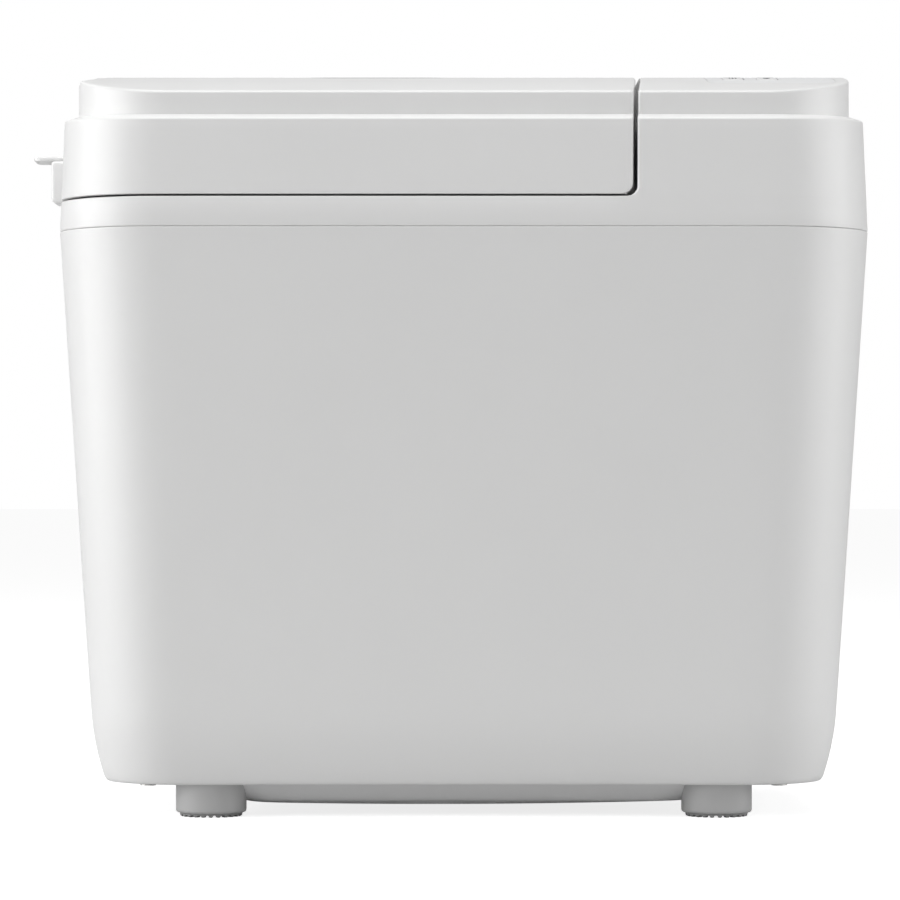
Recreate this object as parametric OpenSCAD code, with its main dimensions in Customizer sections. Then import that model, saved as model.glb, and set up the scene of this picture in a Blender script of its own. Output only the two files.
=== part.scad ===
// Bread machine: upright housing on four feet, control housing across the front,
// lid hinged at the rear, loaf pan with a belt-driven kneading paddle inside.
// Front is -Y, width is X, the soles of the feet stand on z = 0.

/* [Overall size] */
// Length of the housing over its widest belt, without the rear lip
body_l = 356; // [296:1:428]
// Width of the housing over its widest belt
body_w = 228; // [206:1:274]
// Height from the soles of the feet to the crown of the lid
body_h = 330; // [300:1:396]
// Radius of the upright corners at the widest belt
corner_r = 45; // [38:1:50]
// Thickness of the plastic housings
wall = 2.5; // [2:0.1:3]
// How far the rear lip stands out behind the housing
lip_out = 18; // [12:1:24]

/* [Upper part] */
// Height of the collar between the body seam and the lid seam
collar_h = 13; // [10:0.5:16]
// Height of the lid's side wall up to the shoulder
lid_h = 33.5; // [28:0.1:39]
// Rise of the sloping shoulder round the raised top
shoulder_rise = 1.9; // [1:0.1:3]
// Width of the sloping shoulder
shoulder_w = 6; // [4:0.5:9]
// Height of the raised top's wall above the shoulder
island_h = 10.6; // [8:0.1:13]
// Rise of the arched crown across the width
crown_rise = 14.5; // [10:0.5:18]
// Share of the length that the lid covers
lid_share = 0.7065; // [0.65:0.005:0.75]
// Open gap between the lid and the control housing
lid_gap = 1.9; // [1.2:0.1:3]
// How far the middle of that gap bows towards the front
gap_bow = 5; // [2:0.5:7]
// Height of the dark seam under the lid
lid_seam = 0.9; // [0.6:0.1:1.5]

/* [Baking chamber and pan] */
// Wall thickness of the sheet metal chamber
sheet = 1.2; // [0.8:0.1:1.6]
// Free space between the pan and the chamber at the sides
pan_side_gap = 27; // [24:1:32]
// Free space between the pan and the chamber at the ends
pan_end_gap = 23; // [22:1:28]
// Depth of the pan
pan_h = 124; // [100:1:128]
// Wall thickness of the pan
pan_t = 2; // [1.5:0.1:2.5]
// Diameter of the tubular heating element
element_d = 6.5; // [6:0.1:8]

/* [Drive] */
// Diameter of the drive shaft and the pan shaft
shaft_d = 8; // [6.4:0.1:9.6]
// Diameter of the motor shaft
motor_shaft_d = 6; // [5:0.1:7.2]
// Diameter of the large pulley
large_pulley_d = 96; // [80:1:110]
// Diameter of the motor pulley
motor_pulley_d = 18; // [15:0.5:22]
// Width of the drive belt
belt_w = 9; // [7:0.5:11]
// Radial clearance of every shaft and pin in its bore
running_fit = 0.05; // [0.02:0.01:0.1]

/* [Hinge] */
// Diameter of the hinge pin
hinge_pin_d = 4; // [3.3:0.1:4.8]
// Width of the hinge cover behind the lid
hinge_cover_w = 24; // [22:1:40]

/* [Controls] */
// Width of a push button
button_w = 20; // [16:1:24]
// Length of a push button, front to back
button_l = 9; // [7:0.5:11]
// Travel of a push button
button_travel = 1; // [0.6:0.1:1.5]
// Gap round a push button
button_gap = 0.4; // [0.3:0.05:0.6]

/* [Feet] */
// Diameter of a foot
foot_d = 31; // [26:0.5:37]
// Height of a foot
foot_h = 14; // [12:0.5:17]
// Thickness of the ribbed rubber sole
sole_h = 1.6; // [1.2:0.1:2.2]
// Number of ribs round a sole
sole_ribs = 24; // [18:1:30]

/* [Which node to draw] */
// Name of one node, or all

/* [Hidden] */
$fn = 48;
eps = 0.01;
// contact gap that keeps unfastened neighbours apart
clear = 0.3;

// the rear lip makes the housing sit forward of the middle of the whole length
body_y = -lip_out / 2;

// levels, from the crown down
shoulder_z = body_h - crown_rise - island_h;
rim_z = shoulder_z - shoulder_rise;
collar_z = rim_z - lid_h;
belt_z = collar_z - collar_h;
lid_z = collar_z + lid_seam;
deck_z = collar_z - wall;

// plan insets of the housing from its widest belt, at each level
bottom_inset = 19;
heel_inset = 16.5;
knee_inset = 13.2;
heel_h = 6;
knee_h = 32;
collar_inset = 0.5;
rim_inset = 2;
island_inset = rim_inset + shoulder_w;

// the lid and the control housing part at this line across the width
lid_l = body_l * lid_share;
gap_y = body_l / 2 - lid_l;
gap_r = (pow(body_w / 2, 2) + pow(gap_bow, 2)) / (2 * gap_bow);
gap_centre_y = gap_y + gap_r - gap_bow;
gap_rear = gap_y + lid_gap / 2;
gap_front = gap_y - lid_gap / 2;
// facets of the whole circle that the bowed gap follows
bow_facets = 720;
// corner radius of the openings under the raised tops
top_hole_r = 36;

// arched crown: one large radius across the width
crown_half_w = body_w / 2 - island_inset;
crown_r = (crown_half_w * crown_half_w + crown_rise * crown_rise) / (2 * crown_rise);
bevel_l = 11.6;
bevel_h = 8.2;

// chassis and the parts that stand on it
chassis_z = 40;
chassis_t = 2;
chassis_top = chassis_z + chassis_t;
chassis_gap = 20;
chamber_z = chassis_top + 16;
chamber_floor = chamber_z + sheet;

// baking chamber under the lid
chamber_front_gap = 22.5;
chamber_rear_gap = 33;
// rounded to 0.02 mm, so that half of it is still a short number
chamber_l = round(50 * (lid_l - chamber_front_gap - chamber_rear_gap)) / 50;
chamber_w = body_w - 56;
chamber_y = body_l / 2 - chamber_rear_gap - chamber_l / 2;
chamber_r = 24;
flange_w = 6;
flange_z = deck_z - sheet;

// heating element, its terminals and the sensor in the front wall
element_z = chamber_floor + 14;
element_in = 8;
element_bend = 26;
terminal_x = 18;
terminal_bend = 10;
terminal_out = 14;
sensor_r = 3;
sensor_z = chamber_floor + 60;

// loaf pan, standing on its locking foot
pan_z = chamber_floor + 17;
pan_l = chamber_l - 2 * pan_end_gap;
pan_w = chamber_w - 2 * pan_side_gap;
pan_r = 22;
pan_draft = 3;
pan_rim_w = 3;
pan_rim_h = 1.6;
pan_top = pan_z + pan_h;

// locking foot of the pan and its seat
foot_ring_r = 38;
foot_ring_t = 3;
tab_r = foot_ring_r + 4;
tab_h = 2;
tab_angle = 8;
seat_r = tab_r + 0.8;
seat_t = 3;
hook_r = foot_ring_r + 0.8;
seat_h = 10;

// shafts, couplings and the paddle
pulley_z = 18;
pulley_h = belt_w + 4;
coupling_z = chamber_floor + 1;
coupling_h = 6;
wing_r = 13;
wing_t = 5;
wing_overlap = 4;
hub_r = 11;
hub_h = 8;
paddle_z = pan_z + pan_t + hub_h + 0.6;
paddle_hub_r = 8;
paddle_hub_h = 22;
paddle_reach = 44;

// handle of the pan
handle_d = 5;
handle_z = pan_top - 6;
ear_t = 2;
ear_y = pan_l / 2 + pan_rim_w;
handle_y = ear_y + ear_t + 2.6 + handle_d / 2;
handle_reach = pan_w / 2 + pan_rim_w + 1 + handle_d / 2;
pivot_d = 4;

// motor
motor_y = (gap_y - body_l / 2) / 2 + 4;
motor_w = 62;
stator_h = 32;
bracket_h = 10;
stator_z = chassis_top + bracket_h;
rotor_r = 17;
rotor_gap = 0.5;
fan_r = 26;
fan_h = 8;
belt_t = 1.6;

// hinge of the lid, just behind the housing
hinge_y = body_l / 2 + 4;
hinge_z = collar_z + 11.5;
hinge_out = 9.7;
hinge_pad_y = body_l / 2 - wall - 0.5;
cover_bottom = collar_z + 4.5;
cover_top = hinge_z + 12;
arm_x = hinge_cover_w / 4;
arm_w = 5;
arm_slot_w = arm_w + 1.2;
arm_slot_top = hinge_z + 4.6;
arm_r = 4;
arm_foot_y = body_l / 2 - 18;
bracket_t = 2.5;
lip_w = 22;
lip_t = 2;
lip_y = body_l / 2 - 1;

// liner and glazing inside the lid
liner_z = lid_z + 1.2;
liner_t = 1.5;
liner_gap = 1;
liner_rear = arm_foot_y - 3;
dome_h = rim_z - 6 - liner_z;
dome_l = chamber_l - 20;
dome_w = chamber_w - 16;
window_l = 64;
window_w = 96;
window_r = 14;
window_y = chamber_y - 8;
vent_w = 4;
vent_l = 22;
vent_step = 12;
vent_y = chamber_y + 62;

// controls on the raised front top
fascia_w = body_w - 62;
fascia_l = 56;
fascia_y = (gap_front - body_l / 2 + island_inset) / 2 - 13;
fascia_t = 0.8;
display_w = 58;
display_l = 22;
display_y = fascia_y + 11;
board_z = rim_z + 2;
board_t = 1.6;
switch_h = 5;
switch_w = 6;
scoop_w = 76;
scoop_l = 17;
scoop_z = rim_z - 12;
scoop_rear = gap_front - gap_bow;
button_col = fascia_w / 2 - 24;
boss_x = display_w / 2 + 8;
boss_y = fascia_l / 2 - 3;
button_low_y = fascia_y - 18;
BUTTONS = [
  [-button_col, display_y + 5],
  [-button_col, display_y - 10],
  [button_col, display_y + 5],
  [button_col, display_y - 10],
  [-16, button_low_y],
  [16, button_low_y]
];

// feet and the tray under the housing
foot_x = body_w / 2 - 38;
foot_y = body_l / 2 - 67;
tray_low = 4.5;
tray_front_low = 6;
plate_z = foot_h + 0.5;
screw_x = foot_x - 17;
screw_y = body_l / 2 - 38;
screw_r = 1.6;
screw_head_r = 3.5;

// cord entry at the rear
gland_x = 52;
gland_z = 52;
gland_y = body_l / 2 - 16;
gland_r = 8;
gland_flange_r = 11;
gland_flange_t = 2;
gland_bore_r = 4;
gland_stem = 8;

WHITE = "#e6e7e5";
DARK = "#2b2c2e";
GREY = "#8d9092";
STEEL = "#b9bcbe";
COAT = "#3a3b3d";
GREEN = "#2f6b46";
COPPER = "#b06a3a";

// moves a piece from the housing's own middle to the middle of the whole length
module place() {
  translate([0, body_y, 0]) children();
}

// rounded rectangle, w across X and l along Y
module plate(l, w, r) {
  square([w - 2 * r, l], center = true);
  square([w, l - 2 * r], center = true);
  for (x = [-1, 1]) {
    for (y = [-1, 1]) {
      translate([x * (w / 2 - r), y * (l / 2 - r)]) circle(r = r);
    }
  }
}

// thin slice of the housing's plan, drawn in from the widest belt by an inset
module slice(z, inset) {
  translate([0, 0, z]) {
    linear_extrude(height = eps) {
      plate(body_l - 2 * inset, body_w - 2 * inset, corner_r - inset / 2, $fn = 64);
    }
  }
}

// tapered lower housing, closed, drawn in by a shrink
module lower_block(shrink) {
  hull() {
    slice(foot_h, bottom_inset + shrink);
    slice(foot_h + heel_h, heel_inset + shrink);
    slice(foot_h + knee_h, knee_inset + shrink);
    slice(belt_z - eps, shrink);
  }
}

// upper housing up to the shoulder, closed, drawn in by a shrink
module upper_block(shrink) {
  hull() {
    slice(belt_z, shrink);
    slice(collar_z, collar_inset + shrink);
    slice(rim_z - shrink, rim_inset + shrink);
    slice(shoulder_z - eps - shrink, island_inset + shrink);
  }
}

// big block used to keep one end: y from y0 to y1, z from z0 to z1
module band(y0, y1, z0, z1) {
  translate([-body_w, y0, z0]) cube([2 * body_w, y1 - y0, z1 - z0]);
}

// everything behind the bowed gap between lid and control housing, drawn in from its middle line
module lid_side(inset, z0, z1) {
  translate([0, gap_centre_y, z0]) cylinder(r = gap_r - inset, h = z1 - z0, $fn = bow_facets);
}

// everything in front of the bowed gap, drawn in from its middle line
module panel_side(inset, z0, z1) {
  difference() {
    band(-body_l, gap_y + lid_gap, z0, z1);
    lid_side(-inset, z0 - 1, z1 + 1);
  }
}

// plan of the openings that let the raised tops stay hollow over the shoulder
module top_hole_plan() {
  inset = island_inset + wall;
  plate(body_l - 2 * inset, body_w - 2 * inset, top_hole_r);
}

// everything under the arched crown, the arch raised by a rise
module crown_drum(rise) {
  translate([0, body_l, body_h - crown_r]) {
    rotate([90, 0, 0]) cylinder(r = crown_r + rise, h = 2 * body_l, $fn = 180);
  }
}

// raised top under its arched crown, drawn in by a shrink
module island(shrink) {
  inset = island_inset + shrink;
  intersection() {
    linear_extrude(height = body_h) {
      plate(body_l - 2 * inset, body_w - 2 * inset, corner_r - inset / 2);
    }
    crown_drum(-shrink);
    band(-body_l, body_l, shoulder_z - (shrink > 0 ? eps : 0), body_h + 1);
  }
}

// rounded bar along X between two places
module bar_x(x0, x1, r) {
  translate([x0, 0, 0]) rotate([0, 90, 0]) cylinder(r = r, h = x1 - x0);
}

module body_shell() {
  color(WHITE) place() {
    difference() {
      union() {
        difference() {
          lower_block(0);
          translate([0, 0, -eps]) lower_block(wall);
          translate([0, 0, belt_z - 1]) linear_extrude(height = 2) {
            plate(body_l - 2 * wall, body_w - 2 * wall, corner_r - wall / 2, $fn = 64);
          }
          band(-body_l, body_l, 0, foot_h + eps);
        }
        translate([gland_x, gland_y, gland_z]) {
          rotate([90, 0, 0]) cylinder(r = gland_flange_r + 3, h = 5);
        }
      }
      translate([gland_x, gland_y + 20, gland_z]) {
        rotate([90, 0, 0]) cylinder(r = gland_r + running_fit, h = 40);
      }
      translate([gland_x, gland_y + 20, gland_z]) {
        rotate([90, 0, 0]) cylinder(r = gland_flange_r + clear, h = 20);
      }
    }
  }
}

// tray that closes the bottom, with a shallow belly and room for the feet
module base_pan() {
  plate_l = body_l - 2 * (bottom_inset + wall + 0.5);
  plate_w = body_w - 2 * (bottom_inset + wall + 0.5);
  belly_l = 2 * foot_y + 14;
  belly_w = 2 * foot_x + 14;
  color(GREY) place() {
    difference() {
      union() {
        translate([0, 0, plate_z]) linear_extrude(height = wall) plate(plate_l, plate_w, 34);
        hull() {
          translate([0, 0, plate_z]) linear_extrude(height = eps) plate(belly_l, belly_w, 24);
          translate([0, 0, 8]) linear_extrude(height = eps) plate(belly_l - 4, belly_w - 4, 22);
          translate([0, -foot_y / 2, tray_front_low]) {
            linear_extrude(height = eps) plate(foot_y, belly_w - 12, 18);
          }
          translate([0, 44, tray_low]) linear_extrude(height = eps) plate(80, belly_w - 12, 18);
        }
        for (x = [-1, 1]) {
          for (y = [-1, 1]) {
            translate([x * screw_x, y * screw_y, plate_z]) cylinder(r = 5, h = chassis_z - plate_z);
          }
        }
      }
      hull() {
        translate([0, 0, plate_z + wall]) {
          linear_extrude(height = 1) plate(belly_l - 5, belly_w - 5, 22);
        }
        translate([0, 0, tray_front_low + wall]) {
          linear_extrude(height = eps) plate(belly_l - 9, belly_w - 9, 20);
        }
      }
      for (x = [-1, 1]) {
        for (y = [-1, 1]) {
          translate([x * foot_x, y * foot_y, 0]) cylinder(r = foot_d / 2 + clear, h = foot_h + 0.5);
          translate([x * screw_x, y * screw_y, 0]) cylinder(r = screw_r + running_fit, h = chassis_z + 1);
        }
      }
      for (i = [-4:4]) {
        translate([-26, motor_y + i * 7 - 1.5, 0]) cube([52, 3, 16]);
      }
    }
  }
}

// round plastic foot; its ribbed rubber sole is a separate node
module foot(x, y) {
  color(GREY) place() translate([x * foot_x, y * foot_y, 0]) {
    rotate_extrude() {
      polygon([
        [0, sole_h], [foot_d / 2 - 2.6, sole_h], [foot_d / 2 - 0.8, sole_h + 0.9],
        [foot_d / 2, sole_h + 2.8], [foot_d / 2, foot_h + 0.5], [0, foot_h + 0.5]
      ]);
    }
  }
}

module foot_front_left() {
  foot(-1, -1);
}

module foot_front_right() {
  foot(1, -1);
}

module foot_rear_left() {
  foot(-1, 1);
}

module foot_rear_right() {
  foot(1, 1);
}

// rubber sole of each foot, with ribs round its rim
module foot_soles() {
  sole_r = foot_d / 2 - 2.4;
  color(GREY) place() {
    for (x = [-1, 1]) {
      for (y = [-1, 1]) {
        translate([x * foot_x, y * foot_y, 0]) {
          translate([0, 0, 0.8]) cylinder(r = sole_r, h = sole_h - 0.8);
          for (i = [0:sole_ribs - 1]) {
            rotate([0, 0, i * 360 / sole_ribs]) {
              translate([sole_r - 3, -0.7, 0]) cube([3.6, 1.4, sole_h]);
            }
          }
        }
      }
    }
  }
}

// collar, deck round the chamber and the walls of the control housing, in one piece
module top_frame() {
  color(WHITE) place() {
    difference() {
      intersection() {
        upper_block(0);
        union() {
          band(-body_l, body_l, belt_z, collar_z);
          panel_side(lid_gap / 2, belt_z, body_h);
        }
      }
      intersection() {
        upper_block(wall);
        union() {
          band(-body_l, body_l, belt_z - 1, deck_z);
          panel_side(lid_gap / 2 + wall, belt_z, body_h);
        }
      }
      translate([0, 0, shoulder_z - wall - 1]) linear_extrude(height = wall + 2) {
        difference() {
          top_hole_plan();
          translate([0, gap_centre_y]) circle(r = gap_r + lid_gap / 2 + wall, $fn = bow_facets);
        }
      }
      translate([0, chamber_y, deck_z - 1]) linear_extrude(height = wall + 2) {
        plate(chamber_l + 2, chamber_w + 2, chamber_r + 1);
      }
      translate([-scoop_w / 2 - wall - clear, scoop_rear - wall - 1, scoop_z - wall - clear]) {
        cube([scoop_w + 2 * (wall + clear), gap_bow + wall + 2, 50]);
      }
      for (x = [-1, 1]) {
        translate([x * arm_x - arm_slot_w / 2, arm_foot_y - 0.4, deck_z - 1]) {
          cube([arm_slot_w, hinge_pad_y - arm_foot_y + 0.8, wall + 2]);
        }
      }
      chamber_screw_holes();
    }
  }
}

module chamber_screw_places() {
  for (x = [-1, 1]) {
    for (y = [-1, 0, 1]) {
      translate([x * (chamber_w / 2 + flange_w - 2), chamber_y + y * chamber_l / 3, 0]) children();
    }
  }
}

module chamber_screw_holes() {
  chamber_screw_places() translate([0, 0, flange_z - 1]) cylinder(r = 1.2 + running_fit, h = 3);
}

module chamber_screws() {
  color(STEEL) place() chamber_screw_places() {
    translate([0, 0, flange_z - 1.5]) cylinder(r = 2, h = 1.5);
    translate([0, 0, flange_z - 0.5]) cylinder(r = 1.2, h = 2.4);
  }
}

// raised top of the control housing, with the finger scoop at its rear
module panel_cover() {
  color(WHITE) place() {
    difference() {
      union() {
        difference() {
          intersection() {
            island(0);
            panel_side(lid_gap / 2, 0, body_h + 1);
          }
          intersection() {
            island(wall);
            panel_side(lid_gap / 2 + wall, 0, body_h + 1);
          }
        }
        intersection() {
          translate([-scoop_w / 2 - wall, scoop_rear - scoop_l - wall, scoop_z - wall]) {
            cube([scoop_w + 2 * wall, scoop_l + wall + gap_bow, 60]);
          }
          panel_side(lid_gap / 2, 0, body_h + 1);
          crown_drum(0);
        }
        board_bosses();
      }
      translate([-scoop_w / 2, scoop_rear - scoop_l, scoop_z]) {
        cube([scoop_w, scoop_l + gap_bow + 1, 60]);
      }
      fascia_sheet(fascia_w + 0.2, fascia_l + 0.2, 1);
      translate([0, display_y, board_z]) linear_extrude(height = 60) plate(display_l, display_w, 2);
      button_holes();
    }
  }
}

module board_bosses() {
  intersection() {
    for (x = [-1, 1]) {
      for (y = [-1, 1]) {
        translate([x * boss_x, fascia_y + y * boss_y, board_z + board_t]) cylinder(r = 3, h = 40);
      }
    }
    crown_drum(-1);
  }
}

module button_holes() {
  for (b = BUTTONS) {
    translate([b[0], b[1], board_z]) linear_extrude(height = 60) {
      plate(button_l + 2 * button_gap, button_w + 2 * button_gap, 3);
    }
  }
}

// sheet that follows the crown; rise moves its top face above the cover
module fascia_sheet(w, l, rise) {
  intersection() {
    translate([0, fascia_y, shoulder_z]) linear_extrude(height = 60) plate(l, w, 6);
    difference() {
      crown_drum(rise);
      crown_drum(-fascia_t);
    }
  }
}

module control_fascia() {
  color(GREY) place() {
    difference() {
      fascia_sheet(fascia_w, fascia_l, 0);
      translate([0, display_y, board_z]) linear_extrude(height = 60) plate(display_l, display_w, 2);
      button_holes();
    }
  }
}

module display_window() {
  color(DARK) place() {
    intersection() {
      translate([0, display_y, shoulder_z]) linear_extrude(height = 60) {
        plate(display_l - 0.2, display_w - 0.2, 1.9);
      }
      difference() {
        crown_drum(0);
        crown_drum(-wall);
      }
    }
  }
}

module display_module() {
  color(GREEN) place() {
    translate([-display_w / 2 - 2, display_y - display_l / 2 - 1, board_z + board_t]) {
      cube([display_w + 4, display_l + 2, body_h - crown_rise / 4 - wall - 1 - board_z - board_t]);
    }
  }
}

module control_board() {
  board_l = fascia_l + 4;
  board_w = 2 * button_col + button_w + 6;
  color(GREEN) place() {
    translate([-board_w / 2, fascia_y - board_l / 2, board_z]) cube([board_w, board_l, board_t]);
    for (b = BUTTONS) {
      translate([b[0] - switch_w / 2, b[1] - switch_w / 2, board_z]) {
        cube([switch_w, switch_w, board_t + switch_h]);
      }
    }
  }
}

// push button: cap in the cover's hole, stem down to its switch
module button(i) {
  stem_r = 2;
  stem_z = board_z + board_t + switch_h + button_travel + 0.1;
  cap_z = stem_z + 1.5;
  color(WHITE) place() {
    intersection() {
      translate([BUTTONS[i][0], BUTTONS[i][1], 0]) {
        translate([0, 0, stem_z]) cylinder(r = stem_r, h = body_h - stem_z);
        translate([0, 0, cap_z]) {
          linear_extrude(height = 40) plate(button_l, button_w, 2.6);
        }
      }
      crown_drum(0.6);
      translate([-body_w, -body_l, 0]) cube([2 * body_w, 2 * body_l, body_h]);
    }
  }
}

module button_menu() {
  button(0);
}

module button_crust() {
  button(1);
}

module button_timer_up() {
  button(2);
}

module button_timer_down() {
  button(3);
}

module button_stop() {
  button(4);
}

module button_start() {
  button(5);
}

// sheet metal oven, open at the top
module baking_chamber() {
  color(STEEL) place() translate([0, chamber_y, 0]) {
    difference() {
      union() {
        translate([0, 0, chamber_z]) linear_extrude(height = deck_z - chamber_z) {
          plate(chamber_l + 2 * sheet, chamber_w + 2 * sheet, chamber_r + sheet);
        }
        translate([0, 0, flange_z]) linear_extrude(height = sheet) {
          plate(chamber_l + 2 * flange_w, chamber_w + 2 * flange_w, chamber_r + flange_w);
        }
      }
      translate([0, 0, chamber_floor]) linear_extrude(height = body_h) {
        plate(chamber_l, chamber_w, chamber_r);
      }
      translate([0, 0, chamber_z - 1]) cylinder(r = shaft_d / 2 + 3, h = 4);
      for (x = [-1, 1]) {
        translate([x * terminal_x, -chamber_l / 2 + 3, element_z]) {
          rotate([90, 0, 0]) cylinder(r = element_d / 2 + clear, h = 8);
        }
      }
      translate([chamber_w / 4, -chamber_l / 2 + 3, sensor_z]) {
        rotate([90, 0, 0]) cylinder(r = sensor_r + running_fit, h = 8);
      }
      translate([0, -chamber_y, 0]) chamber_screw_holes();
    }
  }
}

// ring on the chamber floor whose hooks hold the tabs of the pan's foot
module pan_seat() {
  color(STEEL) place() translate([0, chamber_y, chamber_floor]) {
    difference() {
      cylinder(r = seat_r + seat_t, h = seat_h);
      translate([0, 0, -1]) cylinder(r = seat_r, h = seat_h + 2);
    }
    for (i = [0:3]) {
      rotate([0, 0, 45 + 90 * i]) sector(hook_r, seat_r + 0.5, tab_angle, seat_h - 3, seat_h);
    }
  }
}

// part of a ring, its middle on the X direction: radii r0 to r1, heights z0 to z1
module sector(r0, r1, angle, z0, z1) {
  translate([0, 0, z0]) {
    rotate([0, 0, -angle / 2]) rotate_extrude(angle = angle, $fn = 96) {
      translate([r0, 0]) square([r1 - r0, z1 - z0]);
    }
  }
}

// quarter of a ring of tube about the origin, from angle a0
module elbow(r, a0) {
  rotate([0, 0, a0]) rotate_extrude(angle = 90, $fn = 96) translate([r, 0]) circle(d = element_d);
}

// heating element: a loop round the foot of the pan, its ends through the front wall
module heating_element() {
  half_w = chamber_w / 2 - element_in;
  half_l = chamber_l / 2 - element_in;
  side_l = 2 * (half_l - element_bend);
  end_w = 2 * (half_w - element_bend);
  front_w = half_w - element_bend - terminal_x - terminal_bend;
  color(COAT) place() translate([0, chamber_y, element_z]) {
    for (x = [-1, 1]) {
      translate([x * half_w, side_l / 2, 0]) rotate([90, 0, 0]) cylinder(d = element_d, h = side_l);
      mirror([x < 0 ? 1 : 0, 0, 0]) {
        translate([half_w - element_bend, half_l - element_bend, 0]) elbow(element_bend, 0);
        translate([half_w - element_bend, -half_l + element_bend, 0]) elbow(element_bend, 270);
        translate([terminal_x + terminal_bend, -half_l, 0]) bar_x(0, front_w, element_d / 2);
        translate([terminal_x + terminal_bend, -half_l - terminal_bend, 0]) elbow(terminal_bend, 90);
        translate([terminal_x, -half_l - terminal_bend, 0]) {
          rotate([90, 0, 0]) cylinder(d = element_d, h = terminal_out);
        }
      }
    }
    translate([-end_w / 2, half_l, 0]) bar_x(0, end_w, element_d / 2);
  }
}

// clips that hold the element's long sides off the floor
module element_clips() {
  color(STEEL) place() translate([0, chamber_y, chamber_floor]) {
    for (x = [-1, 1]) {
      for (y = [-1, 1]) {
        translate([x * (chamber_w / 2 - element_in), y * chamber_l / 5, 0]) {
          difference() {
            translate([-5, -3, 0]) cube([10, 6, 15]);
            translate([0, 4, element_z - chamber_floor]) {
              rotate([90, 0, 0]) cylinder(r = element_d / 2 + running_fit, h = 8);
            }
          }
        }
      }
    }
  }
}

module temperature_sensor() {
  color(STEEL) place() translate([chamber_w / 4, chamber_y - chamber_l / 2 + 9, sensor_z]) {
    rotate([90, 0, 0]) cylinder(r = sensor_r, h = 26);
    translate([0, -9 - sheet, 0]) rotate([90, 0, 0]) cylinder(r = sensor_r + 3, h = 3);
  }
}

// upright sheet between the chamber and the motor
module heat_shield() {
  color(STEEL) place() translate([-chamber_w / 2 + 4, gap_front + 3, chassis_top]) {
    cube([chamber_w - 8, sheet, deck_z - 30 - chassis_top]);
    translate([0, -10, 0]) cube([chamber_w - 8, 10 + sheet, sheet]);
  }
}

module chassis() {
  chassis_l = body_l - 2 * (knee_inset + wall) - chassis_gap + 4;
  chassis_w = body_w - 2 * (knee_inset + wall) - chassis_gap;
  color(STEEL) place() {
    difference() {
      translate([0, 0, chassis_z]) linear_extrude(height = chassis_t) plate(chassis_l, chassis_w, 26);
      translate([0, chamber_y, chassis_z - 1]) cylinder(r = hub_r, h = 4);
      translate([0, motor_y, chassis_z - 1]) cylinder(r = 12, h = 4);
      motor_screw_places() translate([0, 0, chassis_z - 1]) cylinder(r = 1.5 + running_fit, h = 4);
      for (x = [-1, 1]) {
        for (y = [-1, 1]) {
          translate([x * screw_x, y * screw_y, chassis_z - 1]) cylinder(r = screw_r + running_fit, h = 4);
        }
      }
    }
  }
}

module chamber_posts() {
  color(STEEL) place() translate([0, chamber_y, chassis_top]) {
    for (x = [-1, 1]) {
      for (y = [-1, 1]) {
        translate([x * chamber_w / 3, y * chamber_l / 3, 0]) cylinder(r = 4, h = chamber_z - chassis_top);
      }
    }
  }
}

// casting that carries the drive shaft between the chassis and the chamber
module bearing_housing() {
  color(GREY) place() translate([0, chamber_y, 0]) {
    difference() {
      union() {
        translate([0, 0, chassis_top]) cylinder(r = 24, h = 4);
        translate([0, 0, pulley_z + pulley_h + 3]) {
          cylinder(r = hub_r - clear, h = chamber_z - pulley_z - pulley_h - 3);
        }
      }
      translate([0, 0, pulley_z]) cylinder(r = shaft_d / 2 + running_fit, h = 60);
    }
  }
}

module motor_screw_places() {
  for (x = [-1, 1]) {
    for (y = [-1, 1]) {
      translate([x * (motor_w / 2 - 6), motor_y + y * (motor_w / 2 - 6), 0]) children();
    }
  }
}

module motor_screws() {
  color(STEEL) place() motor_screw_places() {
    translate([0, 0, chassis_z - 3]) cylinder(r = 3, h = 3, $fn = 6);
    translate([0, 0, chassis_z - 1]) cylinder(r = 1.5, h = stator_z + stator_h - chassis_z + 5);
  }
}

module motor_bracket(z, floor_z) {
  translate([0, motor_y, z]) {
    difference() {
      union() {
        translate([-motor_w / 2, -12, floor_z]) cube([motor_w, 24, 3]);
        for (x = [-1, 1]) {
          translate([x * (motor_w / 2 - 6) - 6, -motor_w / 2, floor_z]) cube([12, motor_w, 3]);
        }
        for (x = [-1, 1]) {
          for (y = [-1, 1]) {
            translate([x * (motor_w / 2 - 6), y * (motor_w / 2 - 6), 0]) cylinder(r = 5, h = bracket_h);
          }
        }
        cylinder(r = 9, h = bracket_h - 1);
      }
      translate([0, 0, -1]) cylinder(r = motor_shaft_d / 2 + running_fit, h = bracket_h + 2);
      for (x = [-1, 1]) {
        for (y = [-1, 1]) {
          translate([x * (motor_w / 2 - 6), y * (motor_w / 2 - 6), -1]) {
            cylinder(r = 1.5 + running_fit, h = bracket_h + 2);
          }
        }
      }
    }
  }
}

module motor_lower_bracket() {
  color(STEEL) place() motor_bracket(chassis_top, 0);
}

module motor_upper_bracket() {
  color(STEEL) place() motor_bracket(stator_z + stator_h, bracket_h - 3);
}

// laminated iron frame round the rotor
module motor_stator() {
  color(GREY) place() translate([0, motor_y, stator_z]) {
    difference() {
      translate([-motor_w / 2, -motor_w / 2, 0]) cube([motor_w, motor_w, stator_h]);
      translate([0, 0, -1]) cylinder(r = rotor_r + rotor_gap, h = stator_h + 2);
      for (x = [-1, 1]) {
        for (y = [-1, 1]) {
          translate([x * (motor_w / 2 - 6), y * (motor_w / 2 - 6), -1]) {
            cylinder(r = 1.5 + running_fit, h = stator_h + 2);
          }
        }
      }
    }
  }
}

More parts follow.
